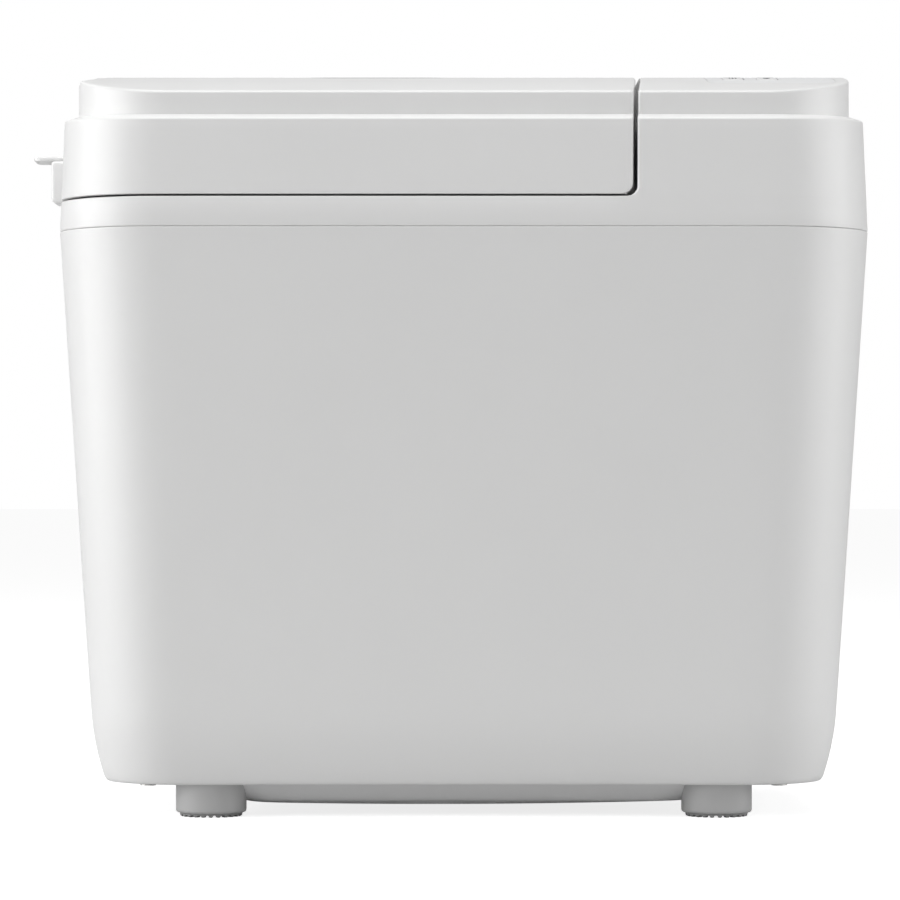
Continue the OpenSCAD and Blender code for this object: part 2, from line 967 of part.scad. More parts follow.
// copper end windings above and below the iron
module motor_coils() {
  coil_r = rotor_r + 2;
  color(COPPER) place() translate([0, motor_y, 0]) {
    for (z = [stator_z - 5, stator_z + stator_h]) {
      translate([0, 0, z]) difference() {
        cylinder(r = coil_r + 2, h = 5);
        translate([0, 0, -1]) cylinder(r = coil_r - 2, h = 7);
      }
    }
  }
}

module motor_capacitor() {
  color(GREY) place() translate([-motor_w / 2 - 22, motor_y, chassis_top]) cylinder(r = 13, h = 48);
}

// upright board with relay, transformer and fuse
module power_board() {
  board_x = motor_w / 2 + 12;
  color(GREEN) place() translate([board_x, motor_y, chassis_top]) {
    translate([0, -30, 0]) cube([board_t, 60, 70]);
    translate([board_t, -24, 8]) cube([18, 22, 26]);
    translate([board_t, 4, 8]) cube([14, 20, 16]);
    translate([board_t, -8, 46]) cube([10, 30, 12]);
  }
}

// flat loop round both pulleys, just clear of them
module drive_belt() {
  r0 = large_pulley_d / 2 + clear;
  r1 = motor_pulley_d / 2 + clear;
  color(DARK) place() translate([0, chamber_y, pulley_z + (pulley_h - belt_w) / 2]) {
    difference() {
      belt_block(r0 + belt_t, r1 + belt_t, belt_w);
      translate([0, 0, -1]) belt_block(r0, r1, belt_w + 2);
    }
  }
}

// solid inside a belt round two drums: r0 at the origin, r1 towards the front
module belt_block(r0, r1, h) {
  run = chamber_y - motor_y;
  lean = asin((r0 - r1) / run);
  cylinder(r = r0, h = h, $fn = 96);
  translate([0, -run, 0]) cylinder(r = r1, h = h, $fn = 96);
  linear_extrude(height = h) {
    polygon([
      [r0 * cos(lean), -r0 * sin(lean)], [r1 * cos(lean), -run - r1 * sin(lean)],
      [-r1 * cos(lean), -run - r1 * sin(lean)], [-r0 * cos(lean), -r0 * sin(lean)]
    ]);
  }
}

// grommet for the mains cord in the rear wall
module cord_gland() {
  color(DARK) place() translate([gland_x, 0, gland_z]) {
    difference() {
      union() {
        translate([0, gland_y + gland_flange_t, 0]) {
          rotate([90, 0, 0]) cylinder(r = gland_flange_r, h = gland_flange_t);
        }
        translate([0, gland_y + 1, 0]) rotate([90, 0, 0]) cylinder(r = gland_r, h = gland_stem);
      }
      translate([0, gland_y + 10, 0]) rotate([90, 0, 0]) cylinder(r = gland_bore_r, h = 40);
    }
  }
}

// steel bracket under the deck whose two arms carry the hinge pin
module hinge_bracket() {
  plate_top = deck_z;
  color(STEEL) place() {
    difference() {
      union() {
        translate([-arm_x - 8, arm_foot_y, plate_top - bracket_t]) {
          cube([2 * arm_x + 16, hinge_pad_y - arm_foot_y, bracket_t]);
        }
        for (x = [-1, 1]) {
          translate([x * arm_x - arm_w / 2, 0, 0]) hinge_arm();
        }
      }
      translate([-50, hinge_y, hinge_z]) bar_x(0, 100, hinge_pin_d / 2 + running_fit / 2);
    }
  }
}

// one arm: a slanted strut from the deck to a round eye about the pin
module hinge_arm() {
  rotate([90, 0, 90]) linear_extrude(height = arm_w) {
    translate([hinge_y, hinge_z]) circle(r = arm_r);
    polygon([
      [arm_foot_y, deck_z - bracket_t], [hinge_pad_y - 0.6, deck_z - bracket_t],
      [hinge_pad_y - 0.6, collar_z], [hinge_y + arm_r * 0.7, hinge_z - arm_r * 0.7],
      [hinge_y - arm_r * 0.7, hinge_z + arm_r * 0.7], [arm_foot_y, collar_z - 1]
    ]);
  }
}

module hinge_pin() {
  color(STEEL) place() translate([0, hinge_y, hinge_z]) {
    bar_x(-hinge_cover_w / 2 + 2, hinge_cover_w / 2 - 2, hinge_pin_d / 2);
  }
}

module base_screws() {
  color(STEEL) place() {
    for (x = [-1, 1]) {
      for (y = [-1, 1]) {
        translate([x * screw_x, y * screw_y, plate_z - 2.4]) {
          cylinder(r = screw_head_r, h = 2.4);
          cylinder(r = screw_r, h = chassis_top - plate_z + 6);
        }
      }
    }
  }
}

module drive_shaft() {
  color(STEEL) place() translate([0, chamber_y, pulley_z - 3]) {
    cylinder(d = shaft_d, h = coupling_z + coupling_h - pulley_z);
  }
}

// spoked wheel with a flat rim for the belt
module large_pulley() {
  color(GREY) place() translate([0, chamber_y, pulley_z]) {
    difference() {
      union() {
        difference() {
          cylinder(d = large_pulley_d, h = pulley_h, $fn = 96);
          translate([0, 0, 4]) cylinder(d = large_pulley_d - 8, h = pulley_h, $fn = 96);
        }
        cylinder(r = 9, h = pulley_h);
      }
      translate([0, 0, -1]) cylinder(d = shaft_d + running_fit / 2, h = pulley_h + 2);
      for (i = [0:5]) {
        rotate([0, 0, 60 * i]) translate([large_pulley_d / 4 + 2, 0, -1]) cylinder(r = 9, h = 6);
      }
    }
  }
}

// driver on the drive shaft: a disc with two upright dogs
module drive_coupling() {
  color(GREY) place() translate([0, chamber_y, coupling_z]) {
    difference() {
      union() {
        cylinder(r = wing_r, h = coupling_h - 1);
        for (a = [0, 180]) {
          rotate([0, 0, a]) translate([wing_t / 2 + clear, -3, 0]) cube([7, 9, coupling_h + wing_overlap]);
        }
      }
      translate([0, 0, -1]) cylinder(d = shaft_d + running_fit / 2, h = coupling_h + 9);
    }
  }
}

// wings under the pan that the dogs of the driver push round
module pan_coupling() {
  color(STEEL) place() translate([0, chamber_y, coupling_z + coupling_h + 0.4]) {
    translate([-wing_t / 2, -wing_r + 1, 0]) cube([wing_t, 2 * wing_r - 2, wing_overlap]);
    translate([0, 0, wing_overlap - eps]) cylinder(r = 6, h = 1.5);
  }
}

module pan_shaft() {
  shaft_z = coupling_z + coupling_h + 0.4 + wing_overlap + 1.5 - eps;
  color(STEEL) place() translate([0, chamber_y, shaft_z]) {
    cylinder(d = shaft_d, h = paddle_z + paddle_hub_h - 6 - shaft_z);
  }
}

// non-stick paddle: conical hub with one swept blade
module kneading_paddle() {
  color(COAT) place() translate([0, chamber_y, paddle_z]) {
    difference() {
      union() {
        cylinder(r = paddle_hub_r, h = 6);
        translate([0, 0, 6]) cylinder(r1 = paddle_hub_r, r2 = 5.6, h = paddle_hub_h - 6);
        rotate([90, 0, 0]) translate([0, 0, -2]) linear_extrude(height = 4) {
          polygon([
            [4, 0.2], [hub_r + 1.5, 0.2], [hub_r + 1.5, 1 - hub_h], [paddle_reach, 1 - hub_h],
            [paddle_reach, 6], [28, 14], [4, 19]
          ]);
        }
      }
      translate([0, 0, -1]) cylinder(d = shaft_d + running_fit / 2, h = paddle_hub_h - 5);
    }
  }
}

module motor_shaft() {
  shaft_h = stator_z + stator_h + bracket_h + fan_h + 5 - pulley_z;
  color(STEEL) place() translate([0, motor_y, pulley_z]) {
    cylinder(d = motor_shaft_d, h = shaft_h);
    translate([0, 0, stator_z - pulley_z]) cylinder(r = rotor_r, h = stator_h);
  }
}

module motor_pulley() {
  color(STEEL) place() translate([0, motor_y, pulley_z]) {
    difference() {
      cylinder(d = motor_pulley_d, h = pulley_h);
      translate([0, 0, -1]) cylinder(d = motor_shaft_d + running_fit / 2, h = pulley_h + 2);
    }
  }
}

// cooling fan above the upper bracket
module motor_fan() {
  color(WHITE) place() translate([0, motor_y, stator_z + stator_h + bracket_h + 3]) {
    difference() {
      union() {
        cylinder(r = 7, h = fan_h);
        cylinder(r = fan_r, h = 1.5);
        for (i = [0:8]) {
          rotate([0, 0, 40 * i]) translate([6, -0.8, 0]) cube([fan_r - 7, 1.6, fan_h]);
        }
      }
      translate([0, 0, -1]) cylinder(d = motor_shaft_d + running_fit / 2, h = fan_h + 2);
    }
  }
}

// thin slice of the pan's plan
module pan_slice(z, inset) {
  translate([0, 0, z]) linear_extrude(height = eps) {
    plate(pan_l - 2 * inset, pan_w - 2 * inset, pan_r - inset, $fn = 32);
  }
}

module loaf_pan() {
  color(COAT) place() translate([0, chamber_y, 0]) {
    difference() {
      union() {
        hull() {
          pan_slice(pan_z, pan_draft + 3);
          pan_slice(pan_z + 4, pan_draft);
          pan_slice(pan_top - eps, 0);
        }
        translate([0, 0, pan_top - pan_rim_h]) linear_extrude(height = pan_rim_h) {
          plate(pan_l + 2 * pan_rim_w, pan_w + 2 * pan_rim_w, pan_r + pan_rim_w);
        }
        for (y = [-1, 1]) {
          translate([-8, y * (ear_y + ear_t / 2) - ear_t / 2, handle_z - 8]) cube([16, ear_t, 14]);
          translate([-8, y > 0 ? pan_l / 2 - 1 : -ear_y, pan_top - pan_rim_h]) {
            cube([16, pan_rim_w + 1, pan_rim_h]);
          }
        }
      }
      hull() {
        pan_slice(pan_z + pan_t, pan_draft + 3 + pan_t);
        pan_slice(pan_z + 4 + pan_t, pan_draft + pan_t);
        pan_slice(pan_top + 1, pan_t);
      }
      translate([0, 0, pan_z - 1]) cylinder(r = hub_r + running_fit, h = pan_t + 2);
      for (y = [-1, 1]) {
        translate([0, y * ear_y + 10, handle_z]) {
          rotate([90, 0, 0]) cylinder(d = pivot_d + 2 * running_fit, h = 20);
        }
      }
    }
  }
}

// cast foot of the pan: shaft sleeve, ring and four locking tabs
module pan_foot() {
  color(GREY) place() translate([0, chamber_y, 0]) {
    difference() {
      union() {
        translate([0, 0, pan_z - 2]) cylinder(r = foot_ring_r, h = 2);
        translate([0, 0, chamber_floor + 3]) cylinder(r = foot_ring_r, h = pan_z - chamber_floor - 4);
        translate([0, 0, pan_z - 1]) cylinder(r = hub_r, h = hub_h + pan_t + 1);
      }
      translate([0, 0, chamber_floor]) {
        cylinder(r = foot_ring_r - foot_ring_t, h = pan_z - 2 - chamber_floor);
      }
      translate([0, 0, chamber_floor]) cylinder(r = shaft_d / 2 + running_fit, h = 60);
    }
    for (i = [0:3]) {
      rotate([0, 0, 45 + 90 * i]) {
        translate([0, 0, chamber_floor]) sector(foot_ring_r - 1, tab_r, tab_angle - 1, 3.4, 3.4 + tab_h);
      }
    }
  }
}

// wire bail that swings over the pan
module pan_handle() {
  bend = 12;
  color(STEEL) place() translate([0, chamber_y, handle_z]) {
    for (y = [-1, 1]) {
      translate([0, y * handle_y, 0]) bar_x(0, handle_reach - bend, handle_d / 2);
      translate([0, y * handle_y, 0]) sphere(d = handle_d);
      translate([0, y > 0 ? handle_y : 1 - ear_y, 0]) {
        rotate([90, 0, 0]) cylinder(d = pivot_d, h = handle_y - ear_y + 1);
      }
    }
    translate([handle_reach - bend, handle_y - bend, 0]) {
      rotate_extrude(angle = 90, $fn = 64) translate([bend, 0]) circle(d = handle_d);
    }
    mirror([0, 1, 0]) translate([handle_reach - bend, handle_y - bend, 0]) {
      rotate_extrude(angle = 90, $fn = 64) translate([bend, 0]) circle(d = handle_d);
    }
    translate([handle_reach, handle_y - bend, 0]) {
      rotate([90, 0, 0]) cylinder(d = handle_d, h = 2 * (handle_y - bend));
    }
  }
}

// box behind the lid in which the hinge cover and its arms work
module hinge_pocket() {
  translate([-hinge_cover_w / 2, hinge_pad_y, cover_bottom]) {
    cube([hinge_cover_w, 20, cover_top - cover_bottom]);
  }
}

module lid_shell() {
  color(WHITE) place() {
    difference() {
      union() {
        difference() {
          intersection() {
            upper_block(0);
            lid_side(lid_gap / 2, lid_z, body_h);
          }
          intersection() {
            upper_block(wall);
            lid_side(lid_gap / 2 + wall, belt_z, body_h);
          }
          translate([0, 0, shoulder_z - wall - 1]) linear_extrude(height = wall + 2) {
            intersection() {
              top_hole_plan();
              translate([0, gap_centre_y]) circle(r = gap_r - lid_gap / 2 - wall, $fn = bow_facets);
            }
          }
        }
        lid_boss_places() translate([0, 0, liner_z + liner_t]) {
          cylinder(r = 4, h = shoulder_z - wall - liner_z - liner_t);
        }
      }
      hinge_pocket();
      for (x = [-1, 1]) {
        translate([x * arm_x - arm_slot_w / 2, hinge_pad_y - 10, lid_z - 1]) {
          cube([arm_slot_w, 20, arm_slot_top - lid_z + 1]);
        }
      }
    }
  }
}

module lid_boss_places() {
  for (x = [-1, 1]) {
    for (y = [gap_rear + 14, chamber_y + chamber_l / 3]) {
      translate([x * (body_w / 2 - rim_inset - wall - 3.4), y, 0]) children();
    }
  }
}

// raised top of the lid with its window opening
module lid_cover() {
  color(WHITE) place() {
    difference() {
      intersection() {
        island(0);
        lid_side(lid_gap / 2, 0, body_h + 1);
      }
      difference() {
        intersection() {
          island(wall);
          lid_side(lid_gap / 2 + wall, 0, body_h + 1);
        }
        translate([0, -wall / 2, -wall]) rear_bevel();
      }
      rear_bevel();
      window_hole(0);
      for (i = [-3:3]) {
        translate([i * vent_step - vent_w / 2, vent_y, shoulder_z + 2]) cube([vent_w, vent_l, 60]);
      }
    }
  }
}

// the window's plan carried up through the crown, grown by a margin
module window_hole(grow) {
  translate([0, window_y, shoulder_z]) linear_extrude(height = 60) {
    plate(window_l + 2 * grow, window_w + 2 * grow, window_r + grow);
  }
}

// everything above the slope that ends the crown at the rear
module rear_bevel() {
  rear = body_l / 2 - island_inset;
  translate([-body_w / 2, 0, 0]) rotate([90, 0, 90]) linear_extrude(height = body_w) {
    polygon([
      [rear + 1, body_h - bevel_h * (1 + 1 / bevel_l)], [rear - bevel_l, body_h],
      [rear - bevel_l, body_h + 10], [rear + 1, body_h + 10]
    ]);
  }
}

// dark pane flush with the crown
module lid_window() {
  color(DARK) place() {
    intersection() {
      window_hole(-0.1);
      difference() {
        crown_drum(0);
        crown_drum(-wall);
      }
    }
  }
}

// metal liner: flat brim with a raised dome over the chamber
module lid_liner() {
  brim_l = liner_rear - gap_rear - wall - liner_gap;
  brim_y = (liner_rear + gap_rear + wall + liner_gap) / 2;
  brim_w = body_w - 2 * (rim_inset + wall + liner_gap) - 2;
  color(STEEL) place() {
    difference() {
      union() {
        translate([0, brim_y, liner_z]) linear_extrude(height = liner_t) plate(brim_l, brim_w, 12);
        translate([0, chamber_y, liner_z]) linear_extrude(height = dome_h) plate(dome_l, dome_w, 20);
      }
      translate([0, chamber_y, liner_z - 1]) linear_extrude(height = dome_h + 1 - liner_t) {
        plate(dome_l - 2 * liner_t, dome_w - 2 * liner_t, 20 - liner_t);
      }
      translate([0, window_y, liner_z]) linear_extrude(height = dome_h + 5) {
        plate(window_l - 8, window_w - 8, 10);
      }
    }
  }
}

// inner glass resting on the dome
module lid_glass() {
  color(DARK) place() translate([0, window_y, liner_z + dome_h]) {
    linear_extrude(height = 3) plate(window_l + 6, window_w + 6, 12);
  }
}

// silicone ring under the brim, just clear of the deck
module lid_seal() {
  color(GREY) place() translate([0, chamber_y, collar_z + 0.35]) {
    linear_extrude(height = liner_z - collar_z - 0.35) {
      difference() {
        plate(chamber_l + 14, chamber_w + 14, chamber_r + 7);
        plate(chamber_l + 6, chamber_w + 6, chamber_r + 3);
      }
    }
  }
}

// knuckle of the lid with the lip that keeps the machine off the wall
module hinge_cover() {
  rear = body_l / 2 + hinge_out;
  edge = 1.6;
  color(WHITE) place() {
    difference() {
      union() {
        translate([-hinge_cover_w / 2, 0, 0]) rotate([90, 0, 90]) {
          linear_extrude(height = hinge_cover_w) {
            polygon([
              [hinge_pad_y, cover_bottom], [rear - edge, cover_bottom], [rear, cover_bottom + edge],
              [rear, cover_top - edge], [rear - edge, cover_top], [hinge_pad_y, cover_top]
            ]);
          }
        }
        translate([-lip_w / 2, lip_y, cover_top]) {
          cube([lip_w, body_l / 2 + lip_out - lip_y, lip_t]);
        }
      }
      translate([-50, hinge_y, hinge_z]) bar_x(0, 100, hinge_pin_d / 2 + running_fit);
      for (x = [-1, 1]) {
        translate([x * arm_x - arm_slot_w / 2, hinge_pad_y - 1, 0]) {
          cube([arm_slot_w, 30, arm_slot_top]);
        }
      }
    }
  }
}

body_shell();
base_pan();
foot_front_left();
foot_front_right();
foot_rear_left();
foot_rear_right();
foot_soles();
top_frame();
panel_cover();
control_fascia();
display_window();
display_module();
control_board();
button_menu();
button_crust();
button_timer_up();
button_timer_down();
button_stop();
button_start();
baking_chamber();
pan_seat();
heating_element();
element_clips();
temperature_sensor();
heat_shield();
chassis();
chamber_posts();
bearing_housing();
motor_stator();
motor_coils();
motor_lower_bracket();
motor_upper_bracket();
motor_screws();
motor_capacitor();
power_board();
drive_belt();
cord_gland();
hinge_bracket();
hinge_pin();
base_screws();
chamber_screws();
drive_shaft();
large_pulley();
drive_coupling();
pan_coupling();
pan_shaft();
kneading_paddle();
motor_shaft();
motor_pulley();
motor_fan();
loaf_pan();
pan_foot();
pan_handle();
lid_shell();
lid_cover();
lid_window();
lid_liner();
lid_glass();
lid_seal();
hinge_cover();
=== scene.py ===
# %% [markdown]
# # A household bread machine
# The machine is an upright white housing on four round feet with toothed soles. A
# control housing crosses the front, a hinged lid covers the rest, and inside stand
# a baking chamber, a loaf pan and a kneading paddle. The sized frame holds every working
# part, and this lesson gives those parts their finished surfaces.

# %% Open the frame
import math
import bpy
import numpy as np
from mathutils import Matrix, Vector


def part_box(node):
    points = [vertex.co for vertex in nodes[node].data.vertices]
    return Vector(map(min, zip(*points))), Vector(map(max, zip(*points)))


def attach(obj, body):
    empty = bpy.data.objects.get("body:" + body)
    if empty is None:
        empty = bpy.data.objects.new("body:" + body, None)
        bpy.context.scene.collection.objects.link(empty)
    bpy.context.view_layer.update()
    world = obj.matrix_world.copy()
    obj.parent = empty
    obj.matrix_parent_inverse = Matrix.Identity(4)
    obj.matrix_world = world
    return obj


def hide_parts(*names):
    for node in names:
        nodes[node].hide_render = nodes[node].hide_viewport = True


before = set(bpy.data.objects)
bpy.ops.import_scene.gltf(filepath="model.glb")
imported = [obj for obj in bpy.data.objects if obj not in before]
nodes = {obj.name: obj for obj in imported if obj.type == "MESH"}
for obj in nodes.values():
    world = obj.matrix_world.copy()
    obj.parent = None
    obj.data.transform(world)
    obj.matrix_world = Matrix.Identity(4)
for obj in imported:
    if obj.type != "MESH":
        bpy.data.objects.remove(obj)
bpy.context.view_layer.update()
scene = bpy.context.scene

# %% [markdown]
# ## Reading the sizes
# A maker works from the frame's own sizes, so that every surface lands on its
# part. Each box below gives a lowest and a highest corner in metres.

# %% Sizes taken from the frame
MM = 0.001
BODY_LOW, BODY_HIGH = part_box("body_shell")
LID_LOW, LID_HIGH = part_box("lid_shell")
COVER_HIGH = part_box("lid_cover")[1]
CHAMBER_LOW, CHAMBER_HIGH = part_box("baking_chamber")

HALF_W = BODY_HIGH[0]
FRONT_Y = BODY_LOW[1]
REAR_Y = BODY_HIGH[1]
BASE_Z = BODY_LOW[2]
BELT_Z = BODY_HIGH[2]
LID_Z = LID_LOW[2]
COLLAR_Z = LID_Z - 0.9 * MM
SHOULDER_Z = LID_HIGH[2]
RIM_Z = SHOULDER_Z - 1.9 * MM
CROWN_Z = COVER_HIGH[2]
GAP = 1.9 * MM
BOW = 5 * MM
GAP_REAR = LID_LOW[1] + BOW
GAP_FRONT = GAP_REAR - GAP
ISLAND_IN = HALF_W - COVER_HIGH[0]
CORNER_R = 46 * MM
WALL = 2.5 * MM
print("belt", round(BELT_Z, 4), "collar", round(COLLAR_Z, 4), "crown", round(CROWN_Z, 4))

# %% [markdown]
# ## Grain shared by the finishes
# Moulded plastic is never perfectly even. Under a lamp it shows a fine pebbled
# grain from the mould, and a broad faint mottling where the plastic cooled. Both
# could be painted on, but worked out from position they have the same size on
# every piece. A node group holds the effect once, and each finish sets its scale.

# %% Small helpers for node trees
def link(tree, source, target):
    """Joins an output socket to an input socket."""
    tree.links.new(source, target)


def add_node(tree, kind, **values):
    """A node of a kind, with its properties and input values set by name."""
    node = tree.nodes.new(kind)
    for key, value in values.items():
        if hasattr(node, key):
            setattr(node, key, value)
        else:
            node.inputs[key.replace("_", " ")].default_value = value
    return node


def new_group(name, inputs, outputs):
    """An empty shader group with named sockets, and its two end nodes."""
    group = bpy.data.node_groups.new(name, "ShaderNodeTree")
    for label, kind in inputs:
        group.interface.new_socket(label, in_out="INPUT", socket_type=kind)
    for label in outputs:
        group.interface.new_socket(label, in_out="OUTPUT", socket_type="NodeSocketFloat")
    return group, group.nodes.new("NodeGroupInput"), group.nodes.new("NodeGroupOutput")


# %% Group: mould grain
NUMBER, VECTOR = "NodeSocketFloat", "NodeSocketVector"
GRAIN_IN = [("Position", VECTOR), ("Fine Scale", NUMBER), ("Broad Scale", NUMBER), ("Scuff Scale", NUMBER)]
MASKS = ["Shade", "Gloss", "Height"]
mould_grain, inner, outer = new_group("mould_grain", GRAIN_IN, MASKS)
fine = add_node(mould_grain, "ShaderNodeTexNoise", Detail=3.0, Roughness=0.55)
broad = add_node(mould_grain, "ShaderNodeTexNoise", Detail=4.0, Roughness=0.6)
scuff = add_node(mould_grain, "ShaderNodeTexNoise", Detail=6.0, Roughness=0.7, Distortion=0.6)
for texture, scale in ((fine, "Fine Scale"), (broad, "Broad Scale"), (scuff, "Scuff Scale")):
    link(mould_grain, inner.outputs["Position"], texture.inputs["Vector"])
    link(mould_grain, inner.outputs[scale], texture.inputs["Scale"])
shade = add_node(mould_grain, "ShaderNodeMath", operation="MULTIPLY_ADD")
shade.inputs[1].default_value = 0.3
gloss = add_node(mould_grain, "ShaderNodeMath", operation="MULTIPLY_ADD")
gloss.inputs[1].default_value = 0.4
half_broad = add_node(mould_grain, "ShaderNodeMath", operation="MULTIPLY")
half_broad.inputs[1].default_value = 0.7
half_scuff = add_node(mould_grain, "ShaderNodeMath", operation="MULTIPLY")
half_scuff.inputs[1].default_value = 0.6
link(mould_grain, broad.outputs["Fac"], half_broad.inputs[0])
link(mould_grain, scuff.outputs["Fac"], half_scuff.inputs[0])
link(mould_grain, fine.outputs["Fac"], shade.inputs[0])
link(mould_grain, half_broad.outputs[0], shade.inputs[2])
link(mould_grain, fine.outputs["Fac"], gloss.inputs[0])
link(mould_grain, half_scuff.outputs[0], gloss.inputs[2])
link(mould_grain, shade.outputs[0], outer.inputs["Shade"])
link(mould_grain, gloss.outputs[0], outer.inputs["Gloss"])
link(mould_grain, fine.outputs["Fac"], outer.inputs["Height"])
print("mould grain group has", len(mould_grain.nodes), "nodes")

# %% [markdown]
# ## Drawn and rolled metal
# Sheet steel carries long fine lines from the rolls, and cast metal carries none.
# A noise stretched along one direction gives the lines, so the second group
# squeezes the position first. Its outputs have the same names as the first
# group's, and any finish can take either.

# %% Group: rolled lines
LINES_IN = [("Position", VECTOR), ("Squeeze", VECTOR), ("Fine Scale", NUMBER), ("Scuff Scale", NUMBER)]
rolled_lines, inner, outer = new_group("rolled_lines", LINES_IN, MASKS)
squeeze = add_node(rolled_lines, "ShaderNodeVectorMath", operation="MULTIPLY")
fine = add_node(rolled_lines, "ShaderNodeTexNoise", Detail=4.0, Roughness=0.6)
scuff = add_node(rolled_lines, "ShaderNodeTexNoise", Detail=5.0, Roughness=0.65, Distortion=0.4)
link(rolled_lines, inner.outputs["Position"], squeeze.inputs[0])
link(rolled_lines, inner.outputs["Squeeze"], squeeze.inputs[1])
link(rolled_lines, squeeze.outputs["Vector"], fine.inputs["Vector"])
link(rolled_lines, inner.outputs["Position"], scuff.inputs["Vector"])
link(rolled_lines, inner.outputs["Fine Scale"], fine.inputs["Scale"])
link(rolled_lines, inner.outputs["Scuff Scale"], scuff.inputs["Scale"])
both = add_node(rolled_lines, "ShaderNodeMath", operation="MULTIPLY_ADD")
both.inputs[1].default_value = 0.5
half_scuff = add_node(rolled_lines, "ShaderNodeMath", operation="MULTIPLY")
half_scuff.inputs[1].default_value = 0.5
link(rolled_lines, scuff.outputs["Fac"], half_scuff.inputs[0])
link(rolled_lines, fine.outputs["Fac"], both.inputs[0])
link(rolled_lines, half_scuff.outputs[0], both.inputs[2])
link(rolled_lines, both.outputs[0], outer.inputs["Shade"])
link(rolled_lines, both.outputs[0], outer.inputs["Gloss"])
link(rolled_lines, fine.outputs["Fac"], outer.inputs["Height"])
print("rolled lines group has", len(rolled_lines.nodes), "nodes")

# %% [markdown]
# ## From a group to a finish
# Every finish then follows one recipe. The group's shade mixes a light and a dark
# tone, its gloss moves the roughness between two values, and its height drives a
# bump. What is the same all over the piece is set on the shader itself.

# %% Recipe for a finish
PLASTIC = {"Fine_Scale": 1500.0, "Broad_Scale": 14.0, "Scuff_Scale": 60.0}
ROLLED = {"Squeeze": (1.0, 0.03, 1.0), "Fine_Scale": 1400.0, "Scuff_Scale": 45.0}
CAST = {"Fine_Scale": 900.0, "Broad_Scale": 60.0, "Scuff_Scale": 120.0}
finishes = {}


def finish(name, light, dark, rough, bump, group=mould_grain, scales=PLASTIC, **constants):
    """A material from one group: two tones, a roughness range and a bump depth in metres."""
    material = bpy.data.materials.get(name) or bpy.data.materials.new(name)
    material.use_nodes = True
    tree = material.node_tree
    tree.nodes.clear()
    shader = add_node(tree, "ShaderNodeBsdfPrincipled")
    surface = add_node(tree, "ShaderNodeOutputMaterial")
    place = add_node(tree, "ShaderNodeTexCoord")
    grain = add_node(tree, "ShaderNodeGroup", node_tree=group)
    for key, value in scales.items():
        grain.inputs[key.replace("_", " ")].default_value = value
    tones = add_node(tree, "ShaderNodeMix", data_type="RGBA")
    tones.inputs["A"].default_value = (*dark, 1)
    tones.inputs["B"].default_value = (*light, 1)
    tones.name = "tones"
    range_node = add_node(tree, "ShaderNodeMapRange")
    range_node.inputs["From Min"].default_value = 0.3
    range_node.inputs["From Max"].default_value = 0.7
    range_node.inputs["To Min"].default_value = rough[0]
    range_node.inputs["To Max"].default_value = rough[1]
    relief = add_node(tree, "ShaderNodeBump", Strength=1.0, Distance=bump)
    relief.name = "relief"
    link(tree, place.outputs["Object"], grain.inputs["Position"])
    link(tree, grain.outputs["Shade"], tones.inputs["Factor"])
    link(tree, tones.outputs["Result"], shader.inputs["Base Color"])
    link(tree, grain.outputs["Gloss"], range_node.inputs["Value"])
    link(tree, range_node.outputs["Result"], shader.inputs["Roughness"])
    link(tree, grain.outputs["Height"], relief.inputs["Height"])
    link(tree, relief.outputs["Normal"], shader.inputs["Normal"])
    link(tree, shader.outputs["BSDF"], surface.inputs["Surface"])
    for key, value in constants.items():
        shader.inputs[key.replace("_", " ")].default_value = value
    finishes[name] = material
    return material


# %% The plastics and rubbers
finish("white_plastic", (0.80, 0.80, 0.797), (0.765, 0.765, 0.762), (0.34, 0.46), 0.000012)
finish("button_plastic", (0.76, 0.76, 0.758), (0.70, 0.70, 0.70), (0.36, 0.5), 0.00001)
finish("grey_plastic", (0.51, 0.51, 0.51), (0.46, 0.46, 0.46), (0.42, 0.58), 0.00003)
finish("tray_plastic", (0.82, 0.82, 0.82), (0.78, 0.78, 0.78), (0.42, 0.58), 0.00003)
finish("fascia_plastic", (0.83, 0.835, 0.84), (0.78, 0.785, 0.79), (0.34, 0.44), 0.000008)
finish("pulley_plastic", (0.60, 0.57, 0.49), (0.50, 0.47, 0.40), (0.4, 0.55), 0.00002)
finish("fan_plastic", (0.06, 0.065, 0.07), (0.035, 0.037, 0.04), (0.42, 0.6), 0.00002)
finish("black_plastic", (0.032, 0.032, 0.034), (0.02, 0.02, 0.021), (0.4, 0.6), 0.00003)
RUBBER = {"Fine_Scale": 1100.0, "Broad_Scale": 25.0, "Scuff_Scale": 90.0}
finish("sole_rubber", (0.36, 0.36, 0.36), (0.28, 0.28, 0.28), (0.65, 0.85), 0.00005, scales=RUBBER)
finish("seal_rubber", (0.42, 0.41, 0.40), (0.34, 0.33, 0.32), (0.6, 0.8), 0.00004, scales=RUBBER)
finish("belt_rubber", (0.03, 0.03, 0.03), (0.015, 0.015, 0.015), (0.6, 0.85), 0.00008, scales=RUBBER)
print(len(finishes), "plastic and rubber finishes")

# %% The metals
def metal(name, light, dark, rough, bump, scales=ROLLED):
    """A bare metal whose fine lines are squeezed along the way it was rolled, turned or wound."""
    return finish(name, light, dark, rough, bump, rolled_lines, scales, Metallic=1.0)


